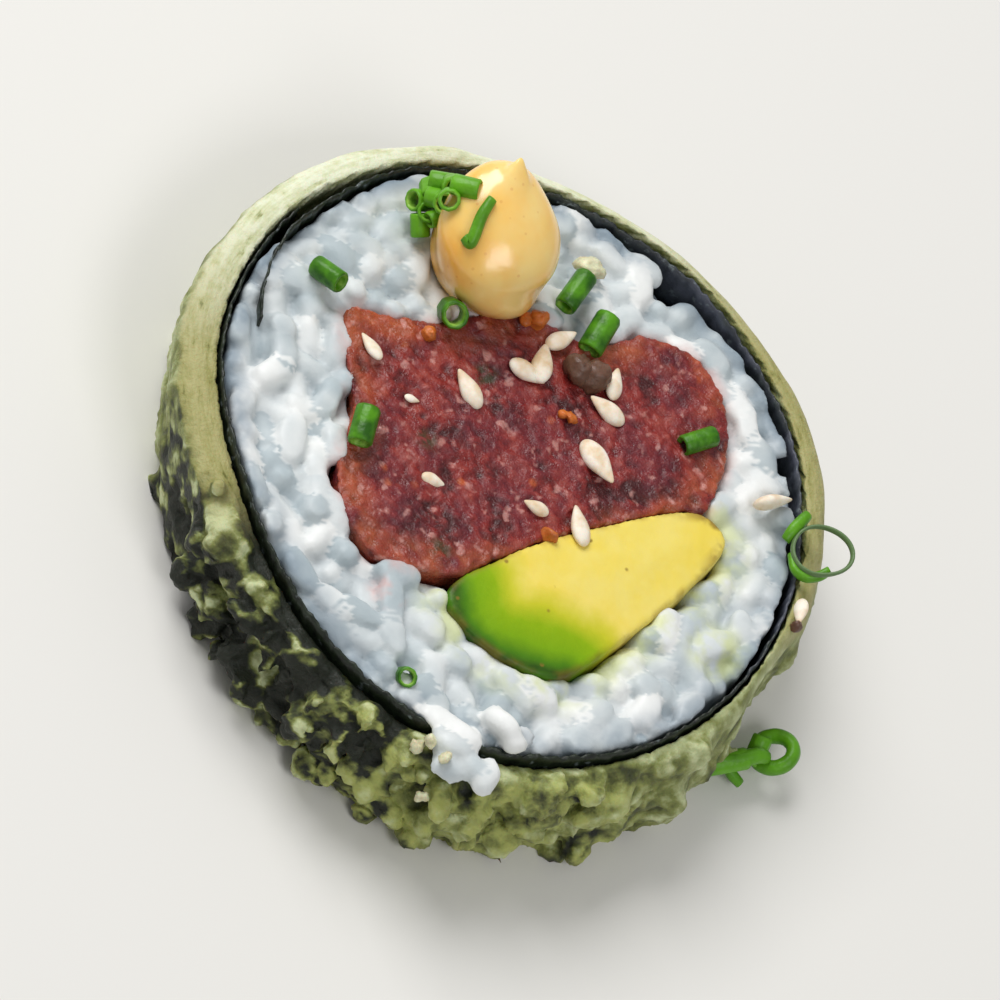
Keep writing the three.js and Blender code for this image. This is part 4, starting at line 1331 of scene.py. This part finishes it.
def resting(places, reach):
    """Height of the food under places on the face: what carries a thing with the given reach."""
    lacking = [name for name in GROUND if name not in bpy.data.objects]
    if lacking:
        raise RuntimeError("Make these pieces first: " + ", ".join(lacking))
    depsgraph = bpy.context.evaluated_depsgraph_get()
    trees = [BVHTree.FromObject(bpy.data.objects[name], depsgraph) for name in GROUND]
    turn = np.arange(8) * math.pi / 4
    around = np.vstack([[0, 0], reach * np.column_stack([np.cos(turn), np.sin(turn)])])
    heights = []
    for x, y in places:
        starts = to_frame([(x + dx, y + dy, HEIGHT) for dx, dy in around]) + (0, 0, DROP)
        hits = [[tree.ray_cast(Vector(start), Vector((0, 0, -1)))[0] for tree in trees] for start in starts]
        tops = sorted(max([hit.z / MM for hit in row if hit], default=0.0) for row in hits)
        heights.append(np.mean(tops[-4:]))
    return np.array(heights)


# ---------------------------------------------------------------- operators

class MAKI_OT_crust(Operator):
    """Fries the batter crust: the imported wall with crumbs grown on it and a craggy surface"""

    bl_idname = "maki.crust"
    bl_label = "Batter crust"

    def execute(self, context):
        settings = context.scene.maki.crust
        material = crust_finish(settings)
        wall = copied_node("tempura_crust", "batter_crust")
        places, normals = places_of(wall), normals_of(wall)
        beyond = beyond_ring(places)
        places[:, :2] *= (1 - 0.12 * beyond / np.linalg.norm(places[:, :2], axis=1))[:, None]
        move_corners(wall, places)
        coarse = toward(angles_of(places), COARSE_ANGLE)
        outward = (normals[:, :2] * places[:, :2]).sum(1) / np.linalg.norm(places[:, :2], axis=1)
        keep(wall, "crumbs", ease(outward, 0.1, 0.6) * ease(beyond, 0.8, 1.4) * ease(coarse, 0.6, 0.95))
        grown_by(wall, crumb_tree(), {
            "Density": settings.crumb_density * CM2_IN_M2,
            "Least": settings.crumb_least,
            "Most": settings.crumb_most,
            "Seed": 3,
            "Material": material,
        })
        remeshed(wall, settings.detail)
        places = places_of(wall)
        coarse = toward(angles_of(places), COARSE_ANGLE)
        held = ease(beyond_ring(places), 0.4, 1.4) * ease(places[:, 2], 0.2, 1.0)
        keep(wall, "calm", held * (1 - ease(coarse, 0.62, 0.9)))
        grown_by(wall, calming_tree(), {"Rounds": settings.calming, "Material": material})
        self.hug_sheet(wall)
        raised(wall, material, swell=(4.2 * MM, settings.swell_height), lump=(2.0 * MM, 0.7 * MM),
               ridge=(3.2 * MM, settings.ridge_height), grain=(0.8 * MM, 0.3 * MM))
        self.hug_sheet(wall)
        dress(wall, material, "tempura_crust")
        return {"FINISHED"}

    def hug_sheet(self, wall):
        """Keeps the wall outside the sheet and over the floor, and marks it."""
        places = places_of(wall)
        beyond = beyond_ring(places)
        reach = np.linalg.norm(places[:, :2], axis=1)
        foot = np.min([np.linalg.norm(places[:, :2] - place[:2], axis=1) for place in FOOT_CHIVES], axis=0)
        slim = ease(toward(angles_of(places), SLIM_ANGLE), 0.97, 0.995)
        most = WALL_MOST - (WALL_MOST - WALL_SLIM) * slim
        most = np.where((foot < FOOT_ROOM) & (places[:, 2] < FOOT_HEIGHT), FOOT_MOST, most)
        uneven = 1 + waves(np.degrees(angles_of(places)) + 3 * places[:, 2], 12, (1.7, 3.1, 5.3))
        wanted = np.clip(beyond, WALL_LEAST + WALL_UNEVEN * uneven, most)
        places[:, :2] *= ((reach - beyond + wanted) / reach)[:, None]
        places[:, 2] = np.maximum(places[:, 2], 0.0)
        move_corners(wall, places)
        self.mark(wall, places, wanted)

    def mark(self, wall, places, beyond):
        """Notes where the wall is rim, bare, painted as lit or golden, where the rim takes its partly painted
        shade, and how rough it may be.
        """
        for name in ("calm", "loose", "rim", "sallow_and_shade", "bare", "lit", "golden", "streak"):
            if name in wall.data.attributes:
                wall.data.attributes.remove(wall.data.attributes[name])
        around, height = angles_of(places), places[:, 2]
        rim = ease(height, HEIGHT - 2.2, HEIGHT - 0.8) * ease(normals_of(wall)[:, 2], -0.1, 0.5)
        rim *= ease(toward(around, RIM_ANGLE), 0.24, 0.38)
        keep(wall, "rim", rim)
        # Where the rim takes its tint and painted shade.
        keep(wall, "sallow_and_shade", 1 - ease(toward(around, PALE_ANGLE), 0.66, 0.95))
        # Painted light round the listed lumps, where the sheet is also kept from showing through.
        to_lump = np.min([np.linalg.norm(places - spot, axis=1) for spot in PAINTED_LIT_LUMPS], axis=0)
        lit = 1 - ease(to_lump, 0.8, 2.6)
        low, by_sheet = 1 - ease(height, 7.5, 10.5), 1 - ease(beyond, 1.0, 2.6)
        thin = ease(toward(around, BARE_ANGLE), 0.87, 0.97) * (1 - lit)
        keep(wall, "bare", thin * (np.maximum(low, by_sheet) + 0.6 * by_sheet))
        keep(wall, "lit", lit)
        keep(wall, "golden", ease(toward(around, GOLDEN_ANGLE), 0.9, 0.98) * ease(beyond, 0.8, 2.4))
        rough = 0.18 + 0.85 * ease(toward(around, COARSE_ANGLE), 0.6, 0.92)
        rough = np.maximum(rough, 0.6 * (1 - ease(height, 5.5, 9.0)))
        keep(wall, "loose", ease(beyond, 0.35, 1.3) * (1 - 0.7 * rim) * rough)
        along = 8.0 * np.column_stack([np.cos(around), np.sin(around)])
        keep(wall, "streak", np.column_stack([along, 2.0 * beyond + 0.8 * height]), "FLOAT_VECTOR")


class MAKI_OT_seaweed(Operator):
    """Rolls the seaweed sheet, its inner end curled into the rice"""

    bl_idname = "maki.seaweed"
    bl_label = "Seaweed sheet"

    def execute(self, context):
        settings = context.scene.maki.seaweed
        degrees = np.linspace(0, 360 + SEAM_OVERLAP, 640)
        angle = np.radians(SEAM_ANGLE - degrees)
        outer = ring_radius(angle) + 0.1 - seam_inset(degrees) + 0.06 * waves(degrees, 2, (3.1, 5.3, 8.9))
        thick = settings.thickness / MM * (1 + 0.35 * waves(degrees, 4, (2.3, 6.1)))
        seam = 0.35 * (1 - ease(degrees, SEAM_OVERLAP, SEAM_MERGE))
        top = HEIGHT - 0.05 + seam + settings.ragged / MM * waves(degrees, 3, (1.9, 3.7, 9.7, 31.0))
        side = np.linspace(0, 1, 14)
        rings = []
        for across in (0.0, 1.0):
            for share in side if across == 0 else side[::-1]:
                soft = 0.35 * max(0.0, share - 0.93) / 0.07
                radius = outer - thick * (across + (0.5 - across) * soft)
                radius = radius + 0.05 * waves(degrees + 40 * share, 6, (4.1, 7.7))
                height = 0.2 + (top - 0.2) * share
                rings.append(np.column_stack([radius * np.cos(angle), radius * np.sin(angle), height]))
        rings = np.array(rings).transpose(1, 0, 2)
        points, faces = skin(rings)
        sheet = new_piece("seaweed_wrap", to_frame(points), faces)
        # Where the painted sheen goes.
        keep(sheet, "painted_sheen", ease(toward(angles_of(points), GAP_ANGLE), 0.7, 0.95))
        dress(sheet, seaweed_finish(settings), "seaweed_sheet")
        return {"FINISHED"}


class MAKI_OT_rice(Operator):
    """Packs the rice: a core with grains on both cut faces, all stuck together"""

    bl_idname = "maki.rice"
    bl_label = "Rice"

    def execute(self, context):
        settings = context.scene.maki.rice
        material = rice_finish(settings)
        core = rice_core()
        keep(core, "loose", np.ones(len(core.data.vertices)))
        grains = all_grains(settings, material)
        for part, lump_size, lump_height in ((core, 2.3, 0.8), (grains, 1.9, 0.22)):
            raised(part, material, swell=(2.6 * MM, 0.35 * MM), lump=(lump_size * MM, lump_height * MM),
                   ridge=(1.6 * MM, 0.06 * MM), grain=(0.9 * MM, 0.05 * MM))
            pressed(part)
        nearest, tones = tones_by_place(grains)
        rice = fused("sticky_rice", (core, grains), settings.detail, 3)
        places = set_on_floor(rice)
        found = [nearest.find(corner.co) for corner in rice.data.vertices]
        apart = np.array([distance for _, _, distance in found]) / MM
        # The core away from the grains gets tone 0, the darkest: painted shade between grains, on top of each
        # grain's own random tone.
        keep(rice, "tone", tones[[index for _, index, _ in found]] * (1 - ease(apart, 0.4, 1.0)))
        # How far below the face the rice lies, which the finish paints as shade.
        keep(rice, "sunk", ease(HEIGHT - places[:, 2], 0.35, 1.5) * (places[:, 2] > HEIGHT / 2))
        # Rice within a few millimetres of the sheet is greyed, a little more towards 140 degrees.
        side = 0.7 + 0.3 * toward(angles_of(places), 140)
        keep(rice, "pressed", (1 - ease(-beyond_ring(places), 0.6, 3.2)) * side * ~is_spilled(places))
        beside_avocado = 1 - ease(-inside_by(places, AVOCADO), 0.4, 3.5)
        keep(rice, "stain", np.maximum(beside_avocado, near(places, YELLOW_GRAINS, 1.0, 3.5)))
        beside_tuna = 1 - ease(-inside_by(places, TUNA), 0.0, 1.3)
        keep(rice, "blush", np.maximum(0.7 * beside_tuna, near(places, PINK_GRAINS, 0.8, 2.0)))
        keep(rice, "spilled", is_spilled(places))
        dress(rice, material, "rice")
        return {"FINISHED"}


class MAKI_OT_tuna(Operator):
    """Chops the raw tuna that fills the middle"""

    bl_idname = "maki.tuna"
    bl_label = "Chopped tuna"

    def execute(self, context):
        settings = context.scene.maki.tuna
        material = tuna_finish(settings)
        tuna = prism("chopped_tuna", grown(TUNA, 0.05), 0.05, HEIGHT + 0.1)
        cut(tuna, room_for(AVOCADO, 0.08))
        remeshed(tuna, settings.detail, smooth=2)
        keep(tuna, "loose", 0.6 + 0.4 * ease(np.abs(normals_of(tuna)[:, 2]), 0.1, 0.6))
        raised(tuna, material, swell=(3.6 * MM, 0.4 * MM), lump=(settings.lump_size, settings.lump_height),
               ridge=(2.2 * MM, 0.03 * MM), grain=(0.7 * MM, 0.3 * MM))
        places = set_on_floor(tuna)
        keep(tuna, "edge", 1 - ease(inside_by(places, TUNA), 0.4, 3.4))
        keep(tuna, "herb", near(places, HERB_FLECKS, 0.4, 1.4))
        dress(tuna, material, "tuna")
        return {"FINISHED"}


class MAKI_OT_avocado(Operator):
    """Lays in the avocado strip"""

    bl_idname = "maki.avocado"
    bl_label = "Avocado"

    def execute(self, context):
        settings = context.scene.maki.avocado
        material = avocado_finish(settings)
        strip = prism("avocado_strip", AVOCADO, 0.02, HEIGHT)
        remeshed(strip, 0.27 * MM, smooth=1)
        places = places_of(strip)
        inside = inside_by(places, AVOCADO)
        crown = settings.crown / MM * ease(inside, 0.0, 4.0) + 0.1
        places[:, 2] += np.where(places[:, 2] > HEIGHT / 2, crown, 0.0)
        move_corners(strip, places)
        keep(strip, "loose", np.ones(len(places)))
        raised(strip, material, swell=(5.0 * MM, 0.12 * MM), lump=(2.5 * MM, 0.01 * MM),
               ridge=(2.0 * MM, 0.03 * MM), grain=(0.9 * MM, 0.03 * MM))
        places = set_on_floor(strip)
        keep(strip, "skin", line_distance(places, AVOCADO_SKIN) / 9.0)
        inside = inside_by(places, AVOCADO)
        bruise = near(places, [AVOCADO_TIP], 1.0, 4.5) * (1 - ease(inside, 0.2, 1.1))
        keep(strip, "edge", np.maximum(0.5 * (1 - ease(inside, 0.1, 0.6)), bruise))
        dress(strip, material, "avocado")
        return {"FINISHED"}


class MAKI_OT_sauce(Operator):
    """Pipes the sauce: a round dollop with its tip dragged over"""

    bl_idname = "maki.sauce"
    bl_label = "Sauce dollop"

    def execute(self, context):
        settings = context.scene.maki.sauce
        right = np.array(SAUCE_SECTION)
        corners = np.vstack([right, right[::-1][1:-1] * (-1, 1)])
        section = smooth_loop(corners, 10 * len(corners))[:10 * (len(right) - 1)]
        top = section[:, 1].max()
        section = section[section[:, 0] > 0.12]
        columns = 72
        turn = np.arange(columns) * 2 * math.pi / columns
        radius = section[:, 0, None] * (1 + 0.04 * np.sin(2 * turn + section[:, 1, None]))
        radius = radius * (1 + 0.01 * np.sin(5 * turn + 1.3 * section[:, 1, None]))
        height = np.repeat(section[:, 1, None], columns, 1)
        drag = np.clip((height - SAUCE_DRAG_FROM) / (top - SAUCE_DRAG_FROM), 0, None) ** SAUCE_BEND
        rings = np.stack([
            SAUCE_PLACE[0] + radius * np.cos(turn) + SAUCE_DRAG[0] * drag,
            SAUCE_PLACE[1] + radius * np.sin(turn) + SAUCE_DRAG[1] * drag,
            SAUCE_PLACE[2] + height,
        ], -1)
        points, faces = skin(rings)
        dollop = new_piece("spicy_sauce", to_frame(points), faces)
        risen = points[:, 2] - SAUCE_PLACE[2]
        # Painted shade on one side, and at the foot below.
        shaded = np.tile(ease(np.cos(turn - math.radians(SAUCE_SHADE)), 0.2, 1.0), len(rings))
        shaded = np.append(shaded, [0, 0]) * (1 - ease(risen, 5.0, 9.0))
        keep(dollop, "side", np.maximum(0.6 * (1 - ease(risen, 0.5, 4.0)), shaded))
        dress(dollop, sauce_finish(settings), "sauce_dollop")
        return {"FINISHED"}


class MAKI_OT_chives(Operator):
    """Scatters cut chives over the face, and lays thin strands by the sauce, the rim and the foot"""

    bl_idname = "maki.chives"
    bl_label = "Cut chives"

    def execute(self, context):
        settings = context.scene.maki.chives
        material = chive_finish(settings)
        loose, heaped = np.array(CHIVES), np.array(HEAPED_CHIVES + FOOT_CHIVES)
        _, tilt, length, share = loose[:, 3:].T
        radius = settings.radius / MM * share
        half = 0.8 * (length / 2 * np.sin(np.radians(tilt)) + radius * np.cos(np.radians(tilt)))
        loose[:, 2] += resting(loose[:, :2], 0.9) + half
        places = self.points(np.vstack([loose, heaped]))
        # Painted light on the heaped rings.
        keep(places, "painted_light", np.repeat([0.0, 0.6], [len(loose), len(heaped)]))
        rings = laid_out(places, chive_shape(settings), material)
        dress(rings, material)
        dress(self.strands(), material)
        return {"FINISHED"}

    def points(self, table):
        """Points for the cut rings, each rolled at random and a little squashed."""
        rng = np.random.default_rng(21)
        turn, tilt, length, share = table[:, 3:].T
        rolls = rng.uniform(0, 6.3, len(table))
        turns = np.column_stack([rolls, -np.radians(tilt), np.radians(turn)])
        squash = rng.uniform(0.86, 1.02, len(table))
        sizes = np.column_stack([length, share * squash, share * (1.9 - squash)])
        return points_for("cut_chives", table[:, :3], turns, sizes)

    def strands(self):
        """Thin curled strands: over the sauce, a loop with its stems on the rim, and a tuft at the foot."""
        turn = np.linspace(0, 2 * math.pi, 48, endpoint=False)
        sway = 1 + 0.06 * np.sin(2 * turn + 0.6) + 0.03 * np.sin(3 * turn)
        loop = np.column_stack([sway * np.cos(turn), sway * np.sin(turn), np.sin(turn + 0.8)])
        ring = np.column_stack([np.cos(turn), np.sin(turn), np.cos(turn - 0.6)])
        loop, ring = LOOP_MIDDLE + LOOP_REACH * loop, RING_MIDDLE + RING_REACH * ring
        tubes = [(strand(loop, 0.15, closed=True, flat=1.8), 1)]      # each with 1 if it is dull
        tubes += [(strand(smooth_line(path, count), radius), 0) for path, radius, count in STRANDS]
        tubes += [(strand(ring, 0.6, closed=True), 0)]
        points, faces, dull = [], [], []
        for (tube_points, tube_faces), is_dull in tubes:
            faces += [tuple(corner + len(dull) for corner in face) for face in tube_faces]
            points.append(tube_points)
            dull += [is_dull] * len(tube_points)
        piece = new_piece("chive_strands", to_frame(np.vstack(points)), faces)
        keep(piece, "hollow", np.zeros(len(dull)))
        # Some painted light on the strands.
        keep(piece, "painted_light", np.full(len(dull), 0.4))
        keep(piece, "dull", dull)
        return piece


class MAKI_OT_sesame(Operator):
    """Scatters the sesame seeds"""

    bl_idname = "maki.sesame"
    bl_label = "Sesame seeds"

    def execute(self, context):
        settings = context.scene.maki.sesame
        material = sesame_finish(settings)
        table = np.array(SEEDS)
        table[:, 2] += resting(table[:, :2], 0.8) + 0.3 * settings.thickness / MM
        turn, roll, size = table[:, 3:].T
        lean = np.random.default_rng(31).uniform(-0.15, 0.15, len(table))
        turns = np.column_stack([np.radians(roll), lean, np.radians(turn)])
        places = points_for("sesame_seeds", table[:, :3], turns, np.column_stack([size, size, size]))
        dress(laid_out(places, seed_shape(settings), material), material)
        return {"FINISHED"}


class MAKI_OT_scraps(Operator):
    """Drops small scraps on the face: a brown lump, and bits of sauce and batter"""

    bl_idname = "maki.scraps"
    bl_label = "Small scraps"

    def execute(self, context):
        settings = context.scene.maki.scraps
        material = scrap_finish(settings)
        rng = np.random.default_rng(41)
        table = np.array(SCRAPS)
        radius, tone = table[:, 3:].T
        table[:, 2] += resting(table[:, :2], 0.5) + 0.3 * radius
        turns = rng.uniform(0, 6.3, (len(table), 3))
        sizes = radius[:, None] * rng.uniform(0.55, 1.25, (len(table), 3))
        points = points_for("food_scraps", table[:, :3], turns, sizes)
        keep(points, "tone", tone)
        thing = new_piece("Scrap", *ball(1.0 * MM))
        scraps = laid_out(points, thing, material)
        scraps.data.shade_smooth()
        keep(scraps, "loose", np.ones(len(scraps.data.vertices)))
        raised(scraps, material, swell=(1.1 * MM, 0.55 * MM), lump=(0.9 * MM, 0.35 * MM),
               ridge=(0.8 * MM, 0.2 * MM), grain=(0.4 * MM, 0.08 * MM))
        dress(scraps, material)
        return {"FINISHED"}


class MAKI_OT_stage(Operator):
    """Sets the pale floor, the soft light and the camera"""

    bl_idname = "maki.stage"
    bl_label = "Floor, light and camera"

    def execute(self, context):
        settings = context.scene.maki.stage
        self.floor(settings)
        self.lights(context.scene, settings)
        self.camera(context.scene, settings)
        return {"FINISHED"}

    def floor(self, settings):
        material, graph, surface, where = finish("Floor", Roughness=0.6)
        cloud = graph.noise(where, 6.0, 3.0)
        colour = graph.mix(graph.span(cloud, 0.3, 0.7, 0.0, 0.06), settings.floor, settings.cloud)
        graph.colour(surface, colour)
        half = FLOOR_WIDTH / 2
        corners = [(-half, -half, 0), (half, -half, 0), (half, half, 0), (-half, half, 0)]
        floor = new_piece("floor", corners, [(0, 1, 2, 3)])
        floor.data.materials.append(material)

    def lights(self, scene, settings):
        lamps = (("Key", settings.key, *KEY_LAMP), ("Fill", settings.fill, *FILL_LAMP))
        for name, power, size, place in lamps:
            lamp = bpy.data.lights.new(name, "AREA")
            lamp.energy = power
            lamp.size = size
            holder = bpy.data.objects.new(name, lamp)
            holder.location = place
            holder.rotation_euler = (-Vector(place)).to_track_quat("-Z", "Y").to_euler()
            scene.collection.objects.link(holder)
        world = bpy.data.worlds.new("Studio")
        world.use_nodes = True
        sky = world.node_tree.nodes["Background"].inputs
        sky["Color"].default_value = settings.sky_colour
        sky["Strength"].default_value = settings.sky
        scene.world = world

    def camera(self, scene, settings):
        """Looks along +Y from above, turned clockwise, at the middle of the slice as pictured."""
        rise, roll = settings.elevation, settings.roll
        back = Vector((0, -math.cos(rise), math.sin(rise)))
        level, upright = Vector((1, 0, 0)), Vector((0, math.sin(rise), math.cos(rise)))
        right = level * math.cos(roll) + upright * math.sin(roll)
        up = upright * math.cos(roll) - level * math.sin(roll)
        face = Vector(to_frame([(0, 0, HEIGHT)])[0])
        aim = face + (AIM[0] * right + AIM[1] * up) * MM
        camera = bpy.data.cameras.new("Camera")
        camera.lens = camera.sensor_width * settings.distance / settings.frame_width
        camera.clip_start = 0.01
        holder = bpy.data.objects.new("Camera", camera)
        turn = Matrix((right, up, back)).transposed().to_4x4()
        holder.matrix_world = Matrix.Translation(aim + back * settings.distance) @ turn
        scene.collection.objects.link(holder)
        scene.camera = holder
        scene.view_settings.view_transform = "Standard"


class MAKI_PT_panel(Panel):
    """Lists the pieces of the slice in the sidebar"""

    bl_idname = "MAKI_PT_panel"
    bl_label = "Tempura Maki Slice"
    bl_space_type = "VIEW_3D"
    bl_region_type = "UI"
    bl_category = "Maki"

    def draw(self, context):
        for group, operator in PIECES:
            box = self.layout.box()
            box.operator(operator.bl_idname)
            settings = getattr(context.scene.maki, group)
            for name in settings.bl_rna.properties.keys():
                if name not in ("rna_type", "name"):
                    box.prop(settings, name)


PIECES = (
    ("crust", MAKI_OT_crust), ("seaweed", MAKI_OT_seaweed), ("rice", MAKI_OT_rice), ("tuna", MAKI_OT_tuna),
    ("avocado", MAKI_OT_avocado), ("sauce", MAKI_OT_sauce), ("chives", MAKI_OT_chives),
    ("sesame", MAKI_OT_sesame), ("scraps", MAKI_OT_scraps), ("stage", MAKI_OT_stage),
)
CLASSES = (
    CrustSettings, SeaweedSettings, RiceSettings, TunaSettings, AvocadoSettings, SauceSettings, ChiveSettings,
    SesameSettings, ScrapSettings, StageSettings, MakiSettings, *[operator for _, operator in PIECES],
    MAKI_PT_panel,
)


def register():
    for each in CLASSES:
        bpy.utils.register_class(each)
    bpy.types.Scene.maki = PointerProperty(type=MakiSettings)


def unregister():
    del bpy.types.Scene.maki
    for each in reversed(CLASSES):
        bpy.utils.unregister_class(each)


def main():
    register()
    for _, operator in PIECES:
        area, name = operator.bl_idname.split(".")
        getattr(getattr(bpy.ops, area), name)()


if __name__ == "__main__":
    main()
